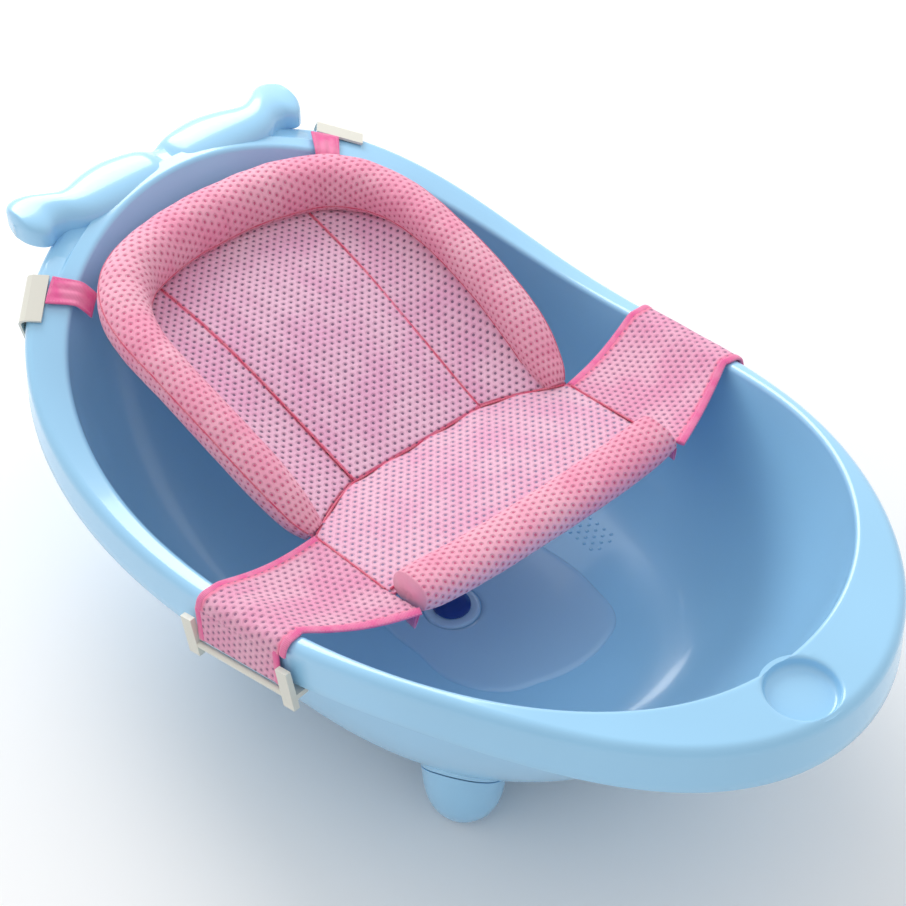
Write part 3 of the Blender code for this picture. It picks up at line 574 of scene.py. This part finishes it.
def press_dish(body):
    """The round dish in the front deck: a cup under the deck and the hollow cut into it."""
    deck = rim_point(0.0)[2]
    deep = deck - DISH_DEPTH
    cup = ((DISH_RADIUS - 0.002, deep - WALL), (DISH_RADIUS + 0.0018, deep - WALL + 0.002),
           (DISH_RADIUS + 0.0025, deck - 0.0018))
    boolean(body, add_mesh("cup_tool", *lathe(cup, (DISH_X, DISH_Y), 96)), "UNION")
    radius, corner = DISH_RADIUS, DISH_RADIUS - DISH_INSET
    hollow = [(radius * 0.35, deep), (radius * 0.7, deep), (corner, deep)]
    for turn in np.linspace(0, math.pi / 2, 7)[1:]:
        hollow.append((corner + DISH_CORNER * math.sin(turn), deep + DISH_CORNER * (1 - math.cos(turn))))
    for turn in np.linspace(0, 1.35, 6):
        hollow.append((radius - 0.0012 + DISH_MOUTH * (1 - math.cos(turn)),
                       deck - DISH_MOUTH * (1 - math.sin(turn))))
    hollow.append((radius + 0.006, deck + 0.002))
    boolean(body, add_mesh("hollow_tool", *lathe(hollow, (DISH_X, DISH_Y), 96)), "DIFFERENCE")


def height_from(tree, x, y, start, direction):
    """The height at which a vertical ray from start meets the tub's surface."""
    return tree.ray_cast(Vector((x, y, start)), Vector((0, 0, direction)))[0].z


def floor_top(tree, x, y):
    return height_from(tree, x, y, 0.5, -1)


def underside(tree, x, y):
    return height_from(tree, x, y, -1.0, 1)


def on_floor(tree, centre, radius, turns, rise):
    """A ring of points that lies on the floor, lifted by rise."""
    ring = around(centre, radius, turns, rise)
    ring[:, 2] += [floor_top(tree, x, y) for x, y, _ in ring]
    return ring


def floor_relief(tree):
    """A low streamlined relief on the floor round the drain."""
    turns = full_turn(200)
    line = smooth_path(PAD_REACH, 400)
    reach = np.interp(np.degrees(turns), line[:, 0], line[:, 1])
    levels = [(0, 0.0)]
    for share in PAD_SHARES[1:-1]:
        fullness = min(1.0, share / 0.02, (1 - share) / 0.07)
        levels.append((share, PAD_HEIGHT * math.sin(math.pi / 2 * fullness)))
    levels += [(1.0, 0.0)] + [(share, -0.0008) for share in PAD_SHARES[::-1]]
    rings = [on_floor(tree, (DRAIN_X, DRAIN_Y), PAD_INNER + (reach - PAD_INNER) * share, turns, rise)
             for share, rise in levels]
    faces = ring_faces(len(rings), len(turns), joined=True)
    pad = add_mesh("floor_relief", np.vstack(rings), faces)
    piece(pad, "tub", "tub_plastic", "pad")


def floor_dimples(tree):
    """A patch of small anti-slip domes in staggered rows."""
    turns = full_turn(12)
    domes = []
    for row in range(DIMPLE_ROWS):
        for column in range(DIMPLE_COLUMNS):
            x = DIMPLE_START[0] + DIMPLE_PITCH[0] * (column + 0.5 * (row % 2))
            y = DIMPLE_START[1] + DIMPLE_PITCH[1] * row
            rings = [around((x, y), DIMPLE_RADIUS - 0.0001, turns, floor_top(tree, x, y) - 0.0012)]
            for tilt in (0.0, 0.5, 1.0, 1.4):
                rise = DIMPLE_HEIGHT * math.sin(tilt) - 0.0003
                rings.append(on_floor(tree, (x, y), DIMPLE_RADIUS * math.cos(tilt), turns, rise))
            vertices, faces, _ = capped(rings)
            domes.append((vertices, faces, np.zeros((len(vertices), 3))))
    piece(add_mesh("floor_dimples", *joined_bodies(domes)), "tub", "tub_plastic", "tub")


def foot_radius(height):
    heights = [row[1] for row in FOOT_PROFILE]
    return float(np.interp(height, heights, [row[0] for row in FOOT_PROFILE]))


def foot_seam(tree, centre, turns):
    """Where the foot's side meets the tub's underside."""
    seam = []
    for turn in turns:
        radius = foot_radius(0.08)
        for _ in range(6):
            x, y = centre[0] + radius * math.cos(turn), centre[1] + radius * math.sin(turn)
            radius = foot_radius(underside(tree, x, y) - COLLAR_DROP + RIM_HEIGHT)
        seam.append((x, y, underside(tree, x, y)))
    return np.array(seam)


def one_foot(tree, centre, label):
    """A foot's cap, and the short collar over it that is moulded on the underside."""
    turns = full_turn(72)
    seam = foot_seam(tree, centre, turns)

    def under(share, rise):
        """The seam's ring, shrunk to a share of its width and kept along the underside."""
        ring = np.array(centre) + (seam[:, :2] - centre) * share
        return np.array([(x, y, underside(tree, x, y) + rise) for x, y in ring])

    rings = []
    for part in (0.0, 0.01, 0.03, 0.06, 0.1, 0.16, 0.24, 0.34, 0.46, 0.6, 0.75, 0.9, 0.985):
        heights = (seam[:, 2] - COLLAR_DROP + RIM_HEIGHT) * part
        radii = np.array([foot_radius(height) for height in heights])
        rings.append(around(centre, radii, turns, heights - RIM_HEIGHT))
    rings += [under(1.0, -COLLAR_DROP - 0.0003), under(0.985, -COLLAR_DROP)]
    rings += [under(share, -COLLAR_DROP) for share in (0.7, 0.35, 0.05)]
    piece(add_mesh("foot_" + label, *capped(rings)[:2]), "tub", "tub_plastic", "tub", "foot_cap_" + label)
    low = SEAM_GAP - COLLAR_DROP
    rings = [under(share, low) for share in (0.05, 0.35, 0.7, 0.985)]
    rings += [under(0.998, low + 0.0002), under(1.0, low + 0.0008), under(1.006, low * 0.4)]
    rings += [under(share, 0.0012) for share in (1.04, 0.7, 0.35, 0.05)]
    piece(add_mesh("foot_collar_" + label, *capped(rings)[:2]), "tub", "tub_plastic", "tub")


def feet(tree):
    for end, (x, y) in (("front", FRONT_FOOT_XY), ("rear", REAR_FOOT_XY)):
        for name, side in SIDES:
            one_foot(tree, (x, y * side), f"{end}_{name}")


def sorted_path(points):
    line = smooth_path(points, 121)
    return line[np.argsort(line[:, 0])]


def tail_handle():
    """The two puffed lobes of the tail handle, with a crease between them."""
    outer_line, inner_line = sorted_path(FLUKE_OUTER), sorted_path(FLUKE_INNER)
    rings = []
    for step in range(-59, 60):
        y = FLUKE_SPAN * math.sin(math.pi / 2 * step / 60)
        outer = np.interp(abs(y), outer_line[:, 0], outer_line[:, 1])
        inner = np.interp(abs(y), inner_line[:, 0], inner_line[:, 1])
        middle, half = (outer + inner) / 2, max((inner - outer) / 2, 0.002)
        fullness = min(1.0, half / 0.018) * (1 - 0.45 * math.exp(-((y / 0.010) ** 2)))
        fullness *= 1 - 0.35 * smooth_step(abs(y), 0.100, 0.143)
        corner = ((half * 0.97, FLUKE_BOTTOM), (half, FLUKE_BOTTOM + 0.0012), (half, FLUKE_EDGE - 0.002))
        ring = [(middle + reach, y, height) for reach, height in corner]
        for turn in np.linspace(0, math.pi, 25):
            up = FLUKE_CROWN * fullness * math.sin(turn) ** 0.75
            ring.append((middle + half * math.cos(turn), y, FLUKE_EDGE + up))
        ring += [(middle - reach, y, height) for reach, height in corner[::-1]]
        rings.append(ring)
    piece(add_mesh("tail_handle", *capped(rings)[:2]), "tub", "tub_plastic", "tub")


# The sling.

def back_height(x):
    return CREASE_Z + BACK_SLOPE * (CREASE_X - x)


def crease_x(y):
    """The seam between back and seat, which swings forward at its ends."""
    side = max(0.0, abs(y) - 0.065) / 0.063
    return CREASE_X + CREASE_SWEEP * min(1.0, side) ** 1.3


def crease_height(y):
    return CREASE_Z + CREASE_RISE * (crease_x(y) - CREASE_X) / CREASE_SWEEP


def back_seam_y(x):
    return float(np.interp(x, (-0.285, -0.154, CREASE_X), (0.078, 0.070, 0.065)))


def bolster_inner_edge(x):
    """How far from the middle the bolster's inner side lies at x, and its height above the back."""
    curve = smooth_path(BOLSTER_PATH, 121)
    tangent = np.gradient(curve[:, :2], axis=0)
    tangent /= np.linalg.norm(tangent, axis=1)[:, None]
    inward = np.stack([-tangent[:, 1], tangent[:, 0]], axis=1)
    inner = curve[:, :2] + inward * curve[:, 2:3]
    lift = curve[:, 3] - 0.5 * curve[:, 2]
    order = np.argsort(inner[:, 0])
    found = [np.interp(x, inner[order, 0], values[order]) for values in (inner[:, 1], lift)]
    return float(found[0]), float(found[1])


def plan_cloth(points, border):
    """Fabric coordinates of nearly flat points: the holes' columns run along COLUMN_TURN."""
    points = np.asarray(points)
    warp = points[..., 0] * math.cos(COLUMN_TURN) + points[..., 1] * math.sin(COLUMN_TURN)
    weft = -points[..., 0] * math.sin(COLUMN_TURN) + points[..., 1] * math.cos(COLUMN_TURN)
    return np.stack([weft, warp, border], axis=-1)


def border_of(grid, ends_only=False):
    """Each grid point's distance from the nearest edge of its sheet, or from its first and last rows."""
    rows, columns = np.shape(grid)[:2]
    along = np.linalg.norm(np.diff(grid, axis=0), axis=2).cumsum(axis=0)
    along = np.vstack([np.zeros((1, columns)), along])
    if ends_only:
        return np.minimum(along, along[-1] - along)
    across = np.linalg.norm(np.diff(grid, axis=1), axis=2).cumsum(axis=1)
    across = np.hstack([np.zeros((rows, 1)), across])
    nearest = np.minimum(along, along[-1] - along)
    return np.minimum(nearest, np.minimum(across, across[:, -1:] - across))


def slab(grid, half, cloth):
    """A closed sheet with rounded edges whose middle surface is a grid of points."""
    grid = np.asarray(grid, float)
    rows, columns = grid.shape[:2]
    along, across = np.gradient(grid, axis=0), np.gradient(grid, axis=1)
    normals = np.cross(along, across)
    normals /= np.linalg.norm(normals, axis=2)[:, :, None]
    upper = (grid + normals * half).reshape(-1, 3)
    lower = (grid - normals * half).reshape(-1, 3)
    base = rows * columns
    faces = []
    for row in range(rows - 1):
        for column in range(columns - 1):
            corner = row * columns + column
            square = (corner, corner + 1, corner + columns + 1, corner + columns)
            faces.append(square)
            faces.append(tuple(base + index for index in reversed(square)))
    edge = list(range(columns))
    edge += [row * columns + columns - 1 for row in range(1, rows)]
    edge += [(rows - 1) * columns + column for column in range(columns - 2, -1, -1)]
    edge += [row * columns for row in range(rows - 2, 0, -1)]
    for index, corner in enumerate(edge):
        after = edge[(index + 1) % len(edge)]
        faces.append((corner, base + corner, base + after, after))
    flat = np.asarray(cloth, float).reshape(-1, 3)
    return np.vstack([upper, lower]), faces, np.vstack([flat, flat])


def tube(path, across, sizes, sides, power=1.0):
    """A closed tube; sizes is its (half width, half height) and across its wide way, one or one a point."""
    path = np.asarray(path, float)
    ahead = np.gradient(path, axis=0)
    ahead /= np.linalg.norm(ahead, axis=1)[:, None]
    wide = np.broadcast_to(np.asarray(across, float), path.shape)
    wide = wide - ahead * np.sum(wide * ahead, axis=1)[:, None]
    wide /= np.linalg.norm(wide, axis=1)[:, None]
    high = np.cross(wide, ahead)
    if high[len(high) // 2][2] < 0:
        high = -high
    turns = full_turn(sides) - math.pi / 2
    sizes = np.broadcast_to(np.asarray(sizes, float), (len(path), 2))
    round_x = np.sign(np.cos(turns)) * np.abs(np.cos(turns)) ** power
    round_y = np.sign(np.sin(turns)) * np.abs(np.sin(turns)) ** power
    rings = (path[:, None] + wide[:, None] * (sizes[:, :1] * round_x[None])[..., None]
             + high[:, None] * (sizes[:, 1:] * round_y[None])[..., None])
    along = lengths_along(path)
    girth = np.linalg.norm(np.diff(rings, axis=1), axis=2).mean(axis=0)
    around = np.concatenate([[0.0], np.cumsum(girth)])
    around -= around[-1] / 2
    cloth = np.zeros(rings.shape)
    cloth[..., 0] = along[:, None]
    cloth[..., 1] = around[None]
    return rings, cloth


def sheet_piece(name, grid, half, cloth, body, slot, material, node):
    return piece(add_mesh(name, *slab(grid, half, cloth)), body, slot, material, node)


def run_cloth(grid, across, border, start=0.0):
    """Fabric coordinates of a sheet whose warp runs along its rows."""
    along = np.array([lengths_along(line) for line in grid])
    return np.stack([across, along + start, border], axis=-1)


def back_lift(x):
    """How far the filled back stands above its plane."""
    return float(np.interp(x, BACK_LIFT_X, BACK_LIFT))


def back_panel():
    """The middle of the back, a little billowed and rippled."""
    grid = []
    for step in np.linspace(0, 1, 84):
        row, swell = [], math.sin(math.pi * step)
        for across in np.linspace(-1, 1, 49):
            x = CREASE_X - 0.0003 + (BACK_TOP_X + 0.010 * across ** 2 - CREASE_X) * step
            lift = back_lift(x) + 0.0022 * (1 - across ** 2) * swell
            ripple = 0.0007 * math.sin(17 * across + 8 * step) * swell
            row.append((x, across * back_seam_y(x), back_height(x) + lift + ripple))
        grid.append(row)
    cloth = plan_cloth(grid, border_of(grid))
    panel = sheet_piece("back_mesh_panel", grid, PANEL_HALF, cloth,
                        "tub", "mesh_pale", "back_mesh", "sling_back_panel")


def back_gusset(name, side):
    """One of the back's side panels, which dips and then rises to the bolster."""
    start = crease_x(0.085) - 0.002
    grid = []
    for step in np.linspace(0, 1, 72):
        x = start + (-0.296 - start) * step
        inner = back_seam_y(x)
        edge, lift = bolster_inner_edge(x)
        outer = max(edge + 0.013, inner + 0.022 * step)
        rise = max(0.0, lift * min(1.0, (1 - step) * 3 + 0.15) - 0.002)
        row = []
        for across in np.linspace(0, 1, 25):
            y = inner + (outer - inner) * across
            shifted = x + (crease_x(y) - crease_x(0.085)) * (1 - step) ** 2
            wave = 0.0012 * math.sin(13 * step + 4 * across) * math.sin(math.pi * across)
            dip = -0.0035 * math.sin(math.pi * across) * math.sin(math.pi * min(1.0, step * 1.3))
            height = back_height(x) + back_lift(x) * (1 - across) + rise * across ** 1.6
            row.append((shifted, side * y, height + wave + dip))
        grid.append(row)
    cloth = plan_cloth(grid, border_of(grid))
    gusset = sheet_piece("back_mesh_gusset_" + name, grid, PANEL_HALF, cloth,
                         "tub", "mesh_pale", "back_mesh", "sling_back_gusset_" + name)


def bolster():
    """The padded rim of the back, and the sewn lines along it; the inner one's dark piping also paints the
    shade along the bolster's inner side.
    """
    curve = smooth_path(BOLSTER_PATH, 150)
    curve = np.vstack([curve, curve[:-1][::-1] * np.array([1.0, -1.0, 1.0, 1.0])])
    arm = np.interp(curve[:, 0], BOLSTER_ARM_X, BOLSTER_ARM_EXTRA)
    top = np.interp(curve[:, 0], (-0.30, -0.22), (1.0, 0.0))
    height = back_height(curve[:, 0]) + curve[:, 3] - 0.0035 * top
    path = np.stack([curve[:, 0], curve[:, 1], height], axis=1)
    direction = np.gradient(curve[:, :2], axis=0)
    across = np.stack([-direction[:, 1], direction[:, 0], np.zeros(len(curve))], axis=1)
    along = lengths_along(path)
    pucker = 1 + 0.020 * np.sin(along * 210) * np.sin(along * 37 + 1) + 0.015 * np.sin(along * 91 + 2)
    half = curve[:, 2] + arm
    sizes = np.stack([half * (1 + 0.03 * top), half * pucker * (0.98 + 0.10 * top)], axis=1)
    rings, cloth = tube(path, across, sizes, 48, power=0.92)
    cloth[..., 2] = 0.02
    head = add_mesh("head_bolster", *capped(rings, cloth))
    piece(head, "tub", "mesh_pink", "bolster_mesh", "sling_head_bolster")
    # The inner seam's piping (ring side 9) stands for the stitches and also paints the shade at the
    # bolster's inner side.
    piping("bolster_seams_and_shade", [rings[2:-2, side] for side in (9, 32)], 0.00065)


def seat_panel():
    """The seat, which billows up between the crease and the roll."""
    grid = []
    for part in np.linspace(0, 1, 40):
        row = []
        for across in np.linspace(-1, 1, 73):
            y = across * SEAT_EDGE_Y
            start = crease_x(y) + 0.0003
            lift = crease_height(y)
            x = start + (SEAT_FRONT_X + 0.009 - start) * part
            billow = 0.0032 * math.sin(math.pi * part) * (1 - across ** 4)
            ripple = 0.0010 * math.sin(19 * across + 5 * part) * (1 - part) ** 2
            row.append((x, y, lift + (SEAT_FRONT_Z - lift) * part + billow + ripple))
        grid.append(row)
    seat = sheet_piece("seat_mesh_panel", grid, PANEL_HALF, plan_cloth(grid, border_of(grid)),
                       "tub", "mesh_pale", "seat_mesh", "sling_seat_panel")


def front_roll():
    """The padded roll across the sling's front edge."""
    ys = np.linspace(-ROLL_HALF_LENGTH, ROLL_HALF_LENGTH, 130)
    share = np.abs(ys / ROLL_HALF_LENGTH)
    path = np.stack([np.full(len(ys), ROLL_X), ys, ROLL_Z + ROLL_END_RISE * share ** 3], axis=1)
    full = 1.0 - 0.12 * share ** 12
    pucker = 1 + 0.03 * np.sin(ys * 160) * np.sin(ys * 47 + 1)
    sizes = np.stack([ROLL_HALF_DEPTH * full, ROLL_HALF_HEIGHT * full * pucker], axis=1)
    rings, cloth = tube(path, (1.0, 0.0, 0.0), sizes, 44, power=0.85)
    cloth[..., 2] = 0.02
    roll = add_mesh("front_roll", *capped(rings, cloth))
    piece(roll, "tub", "mesh_pink", "bolster_mesh", "sling_front_roll")


def roll_tab(name, side):
    """The folded tape loop that hangs from one end of the roll."""
    grid = []
    for across in np.linspace(-1, 1, 9):
        row = []
        for turn in np.linspace(0, 1, 21):
            bulge = math.sin(math.pi * turn)
            out = 0.1300 + 0.0012 * math.cos(math.pi * turn) + 0.002 * bulge
            x = ROLL_X + 0.008 + TAB_HALF_WIDTH * across * (1 - 0.3 * bulge)
            row.append((x, side * out, ROLL_Z - 0.001 - TAB_DROP * bulge))
        grid.append(row)
    grid = np.array(grid)
    cloth = run_cloth(grid, grid[..., 0], border_of(grid))
    tab = sheet_piece("roll_tab_" + name, grid, TAB_HALF, cloth,
                      "tub", "tape_pink", "tape", "sling_roll_tab_" + name)


def wing_path(x, seat_x, side):
    """Points from the seat's edge up over the rim to where the flap starts, at one station along X."""
    theta = theta_at(x, side)
    end = band_width(theta)
    over = ((-0.0020, 0.0012), (0.003, 0.0022), (end * 0.5, 0.0022), (end - 0.0035, 0.0018),
            (end + 0.0005, -0.0012), (end + 0.0023, -0.0058), (end + 0.0031, -0.0092))
    heights = (CREASE_Z + 0.006, SEAT_FRONT_Z, 0.012)
    seat_height = float(np.interp(seat_x, (CREASE_X, SEAT_FRONT_X, 0.125), heights))
    start = np.array([seat_x, side * (SEAT_HALF_WIDTH + GAP + 0.0012), seat_height])
    first = beside_rim(theta, *over[0])
    points = []
    for step in range(6):
        part = step / 6
        point = start + (first - start) * part
        point[2] -= 0.006 * math.sin(math.pi * part)
        points.append(point)
    return smooth_path(points + [beside_rim(theta, out, up) for out, up in over], 72)


def hook_frame(name, side):
    """The hook's own frame, as in the CAD: X along the bar, Y outward, Z up."""
    rear, front = WING_RIM_X[name]
    ends = []
    for x in (rear - 0.0155, front + 0.0075):
        theta = theta_at(x, side)
        out = band_width(theta) + SKIRT_FLARE + HOOK_AXIS_OUT + 0.001
        ends.append(Vector(beside_rim(theta, out, -HOOK_AXIS_DROP)))
    along = (ends[1] - ends[0]).normalized()
    outward = Vector((0, 0, 1)).cross(along).normalized()
    if outward.y * side < 0:
        outward = -outward
    height = outward.cross(along)
    if height.z < 0:
        height = -height
    matrix = Matrix((along, outward, height)).transposed().to_4x4()
    matrix.translation = (ends[0] + ends[1]) / 2
    return matrix, (ends[1] - ends[0]).length / 2


def flap_line(matrix, side, along, hem):
    """The hanging flap's line at one place along the bar, from the rim's corner to round the bar."""
    low = np.array(matrix @ Vector((along, 0.0002, hem)))
    theta = theta_at(low[0], side)
    top = matrix.inverted() @ Vector(beside_rim(theta, band_width(theta) + 0.0028, -0.0080))
    line = [top.lerp(Vector((along, 0.0002, hem)), part) for part in np.linspace(0, 0.9, 14)]
    return np.array([matrix @ Vector((along, point.y, point.z)) for point in line])


def wing(name, side):
    """One side panel from the seat over the rim."""
    rear, front = WING_RIM_X[name]
    grid = []
    for part in np.linspace(0, 1, 45):
        seat_x = np.interp(part, (0, 1), (WING_SEAT_X[0] + 0.002, WING_SEAT_X[1] - 0.002))
        x = np.interp(part, (0, 1), (rear + 0.002, front - 0.002))
        line = wing_path(x, seat_x, side)
        away = np.sin(np.linspace(0, math.pi, len(line))) ** 2 * math.sin(math.pi * part)
        line[:, 2] += 0.0010 * away * np.sin(np.linspace(0, 7, len(line)) + 9 * part)
        grid.append(line)
    grid = np.array(grid)
    cloth = run_cloth(grid, grid[..., 0], border_of(grid, ends_only=True))
    panel = sheet_piece("wing_mesh_" + name, grid, WING_HALF, cloth,
                        "tub", "mesh_pink", "wing_mesh", "sling_wing_" + name)


def wing_bindings(name, side):
    """The tape bound round a wing's two free edges."""
    rear, front = WING_RIM_X[name]
    for edge, seat_x, x in (("rear", WING_SEAT_X[0], rear), ("front", WING_SEAT_X[1], front)):
        rings, cloth = tube(wing_path(x, seat_x, side), (1.0, 0.0, 0.0), BINDING_SIZE, 20, power=0.8)
        cloth[..., [0, 1]] = cloth[..., [1, 0]]
        cloth[..., 2] = np.abs(cloth[..., 0])
        tape = add_mesh(f"binding_{edge}_{name}", *capped(rings, cloth))
        piece(tape, "tub", "tape_pink", "tape", f"wing_tape_{edge}_{name}")


def flap(name, side):
    """The end of a wing that hangs outside the rim and carries the hook's bar, with its side bindings."""
    matrix, half = hook_frame(name, side)
    reach = half - HOOK_POST_WIDTH - HOOK_POST_INSET
    hem = -HOOK_BAR_DROP + HOOK_BAR_RADIUS + 0.0005
    grid = np.array([flap_line(matrix, side, along, hem) for along in np.linspace(-reach, reach, 41)])
    cloth = run_cloth(grid, grid[..., 0], border_of(grid, ends_only=True), start=0.14)
    panel = sheet_piece("flap_mesh_" + name, grid, WING_HALF, cloth,
                        "hook_" + name, "mesh_pink", "wing_mesh", "wing_flap_" + name)
    bindings = []
    for station in (-reach + 0.003, reach - 0.003):
        path = flap_line(matrix, side, station, hem)
        rings, cloth = tube(path, matrix.col[0][:3], (BINDING_SIZE[0], 0.0013), 16, power=0.8)
        bindings.append(capped(rings, cloth[..., [1, 0, 2]]))
    bound = add_mesh("flap_binding_" + name, *joined_bodies(bindings))
    piece(bound, "hook_" + name, "tape_pink", "tape")


def top_strap(name, side):
    """The strap from the bolster over the rim to its clip."""
    rows, count = 21, 40
    theta = side * STRAP_THETA[name]
    width = band_width(theta)
    stations = ((-0.0150, -0.0080), (-0.009, -0.0015), (-0.003, 0.0030), (0.006, 0.0038),
                (width * 0.35, 0.0038), (width - CLIP_REACH - 0.0042, 0.0038))
    grid = []
    for across in np.linspace(-1, 1, rows):
        station = theta_beside(theta, across * STRAP_HALF_WIDTH)
        line = smooth_path([beside_rim(station, out, up) for out, up in stations], count)
        line[:, 2] += 0.0006 * math.sin(9 * across) * np.sin(np.linspace(0, math.pi, count))
        grid.append(line)
    weft = np.linspace(-STRAP_HALF_WIDTH, STRAP_HALF_WIDTH, rows)[:, None].repeat(count, 1)
    strap = sheet_piece("top_strap_" + name, grid, STRAP_HALF, run_cloth(grid, weft, border_of(grid)),
                        "tub", "tape_pink", "tape", "sling_top_strap_" + name)


def piping(name, lines, radius):
    """Thin sewn seams along several lines, as one piece."""
    bodies = []
    for line in lines:
        line = np.asarray(line, float)
        sideways = np.cross(np.gradient(line, axis=0), [0.0, 0.0, 1.0])
        rings, cloth = tube(line, sideways, (radius, radius), 12)
        bodies.append(capped(rings, cloth[..., [1, 0, 2]]))
    piece(add_mesh(name, *joined_bodies(bodies)), "tub", "tape_pink", "seam")


def seams():
    """The sewn lines between the panels."""
    ys = np.linspace(-0.1275, 0.1275, 110)
    back, sides = [], []
    for side in (1, -1):
        xs = np.linspace(CREASE_X - 0.002, -0.286, 110)
        back.append([(x, side * back_seam_y(x), back_height(x) + back_lift(x) + PANEL_HALF) for x in xs])
        xs = np.linspace(0.0, SEAT_FRONT_X, 50)
        heights = np.interp(xs, (-0.005, SEAT_FRONT_X), (CREASE_Z + 0.0105, SEAT_FRONT_Z)) + PANEL_HALF
        sides.append([(x, side * SEAT_EDGE_Y, height) for x, height in zip(xs, heights)])
    piping("back_seams", back, 0.00065)
    piping("crease_seam", [[(crease_x(y), y, crease_height(y) + 0.0010) for y in ys]], 0.0009)
    piping("seat_front_seam", [[(SEAT_FRONT_X + 0.0030, y, SEAT_FRONT_Z + 0.0014) for y in ys]], 0.0010)
    piping("seat_side_seams", sides, 0.0008)


def cad_part(node, material):
    """Gives a part that stays as the CAD has it soft edges and its own finish."""
    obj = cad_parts[node]
    obj.data.materials.clear()
    obj.data.materials.append(MATERIALS[material])
    bevel = obj.modifiers.new("soft_edges", "BEVEL")
    bevel.width, bevel.segments = 0.0006, 2
    bevel.limit_method, bevel.angle_limit = "ANGLE", math.radians(35)
    bevel.harden_normals = True


# The stage.

def area_light(name, place, aim, size, power):
    light = bpy.data.lights.new(name, "AREA")
    light.shape, light.size, light.energy = "DISK", size, power
    lamp = bpy.data.objects.new(name, light)
    lamp.location = place
    lamp.rotation_euler = (Vector(aim) - Vector(place)).to_track_quat("-Z", "Y").to_euler()
    bpy.context.scene.collection.objects.link(lamp)


def studio_floor():
    mesh = bpy.data.meshes.new("studio_floor")
    corners = [(x * FLOOR_HALF_SIZE, y * FLOOR_HALF_SIZE, -FLOOR_DROP) for x, y in
               ((-1, -1), (1, -1), (1, 1), (-1, 1))]
    mesh.from_pydata(corners, [], [(0, 1, 2, 3)])
    floor = bpy.data.objects.new("studio_floor", mesh)
    bpy.context.scene.collection.objects.link(floor)
    graph = Graph("studio_floor_white", 0.9)
    shade = graph.step(graph.noise(1.5, 2.0), 0.2, 0.8)
    mesh.materials.append(graph.finish(graph.mix(shade, (0.90, 0.90, 0.90, 1), (0.92, 0.92, 0.92, 1))))


def studio_world():
    """White light from all round, brighter towards SKY_DIRECTION."""
    world = bpy.data.worlds.new("studio_world")
    bpy.context.scene.world = world
    world.use_nodes = True
    tree = world.node_tree
    direction = tree.nodes.new("ShaderNodeTexCoord").outputs["Generated"]
    towards = tree.nodes.new("ShaderNodeVectorMath")
    towards.operation = "DOT_PRODUCT"
    towards.inputs[1].default_value = Vector(SKY_DIRECTION).normalized()
    tree.links.new(direction, towards.inputs[0])
    strength = tree.nodes.new("ShaderNodeMapRange")
    strength.interpolation_type = "SMOOTHSTEP"
    for index, number in enumerate((-0.6, 0.95, 0.55, 1.02), start=1):
        strength.inputs[index].default_value = number
    tree.links.new(towards.outputs["Value"], strength.inputs[0])
    background = tree.nodes["Background"]
    background.inputs["Color"].default_value = (1.0, 1.0, 1.0, 1.0)
    tree.links.new(strength.outputs[0], background.inputs["Strength"])


def camera():
    flat, rise = math.cos(CAMERA_RISE), math.sin(CAMERA_RISE)
    back = Vector((math.sin(CAMERA_TURN) * flat, -math.cos(CAMERA_TURN) * flat, rise))
    right = (-back).cross(Vector((0, 0, 1))).normalized()
    up = right.cross(-back)
    rolled_right = right * math.cos(CAMERA_ROLL) + up * math.sin(CAMERA_ROLL)
    rolled_up = up * math.cos(CAMERA_ROLL) - right * math.sin(CAMERA_ROLL)
    lens = bpy.data.cameras.new("camera")
    lens.sensor_width, lens.lens = CAMERA_SENSOR, CAMERA_LENS
    lens.dof.use_dof = False
    viewer = bpy.data.objects.new("camera", lens)
    matrix = Matrix((rolled_right, rolled_up, back)).transposed().to_4x4()
    matrix.translation = back * CAMERA_DISTANCE + Vector(CAMERA_AIM) + Vector(SHIFT)
    viewer.matrix_world = matrix
    bpy.context.scene.collection.objects.link(viewer)
    bpy.context.scene.camera = viewer


def build():
    camera()
    studio_floor()
    studio_world()
    area_light("key_light", (-1.9, 0.55, 1.45), (0.10, 0.0, 0.1), 1.5, 30.0)
    bpy.context.scene.view_settings.view_transform = "Standard"
    surface = tub_body()
    feet(surface)
    floor_relief(surface)
    floor_dimples(surface)
    tail_handle()
    bolster()
    front_roll()
    for name, side in SIDES:
        roll_tab(name, side)
    back_panel()
    for name, side in SIDES:
        back_gusset(name, side)
    seat_panel()
    for name, side in SIDES:
        wing(name, side)
        wing_bindings(name, side)
        flap(name, side)
    for name, side in SIDES:
        top_strap(name, side)
        cad_part("side_hook_" + name, "grey")
        cad_part("strap_clip_" + name, "grey")
    seams()
    cad_part("drain_seat_ring", "ring")
    cad_part("drain_plug", "plug")


build()
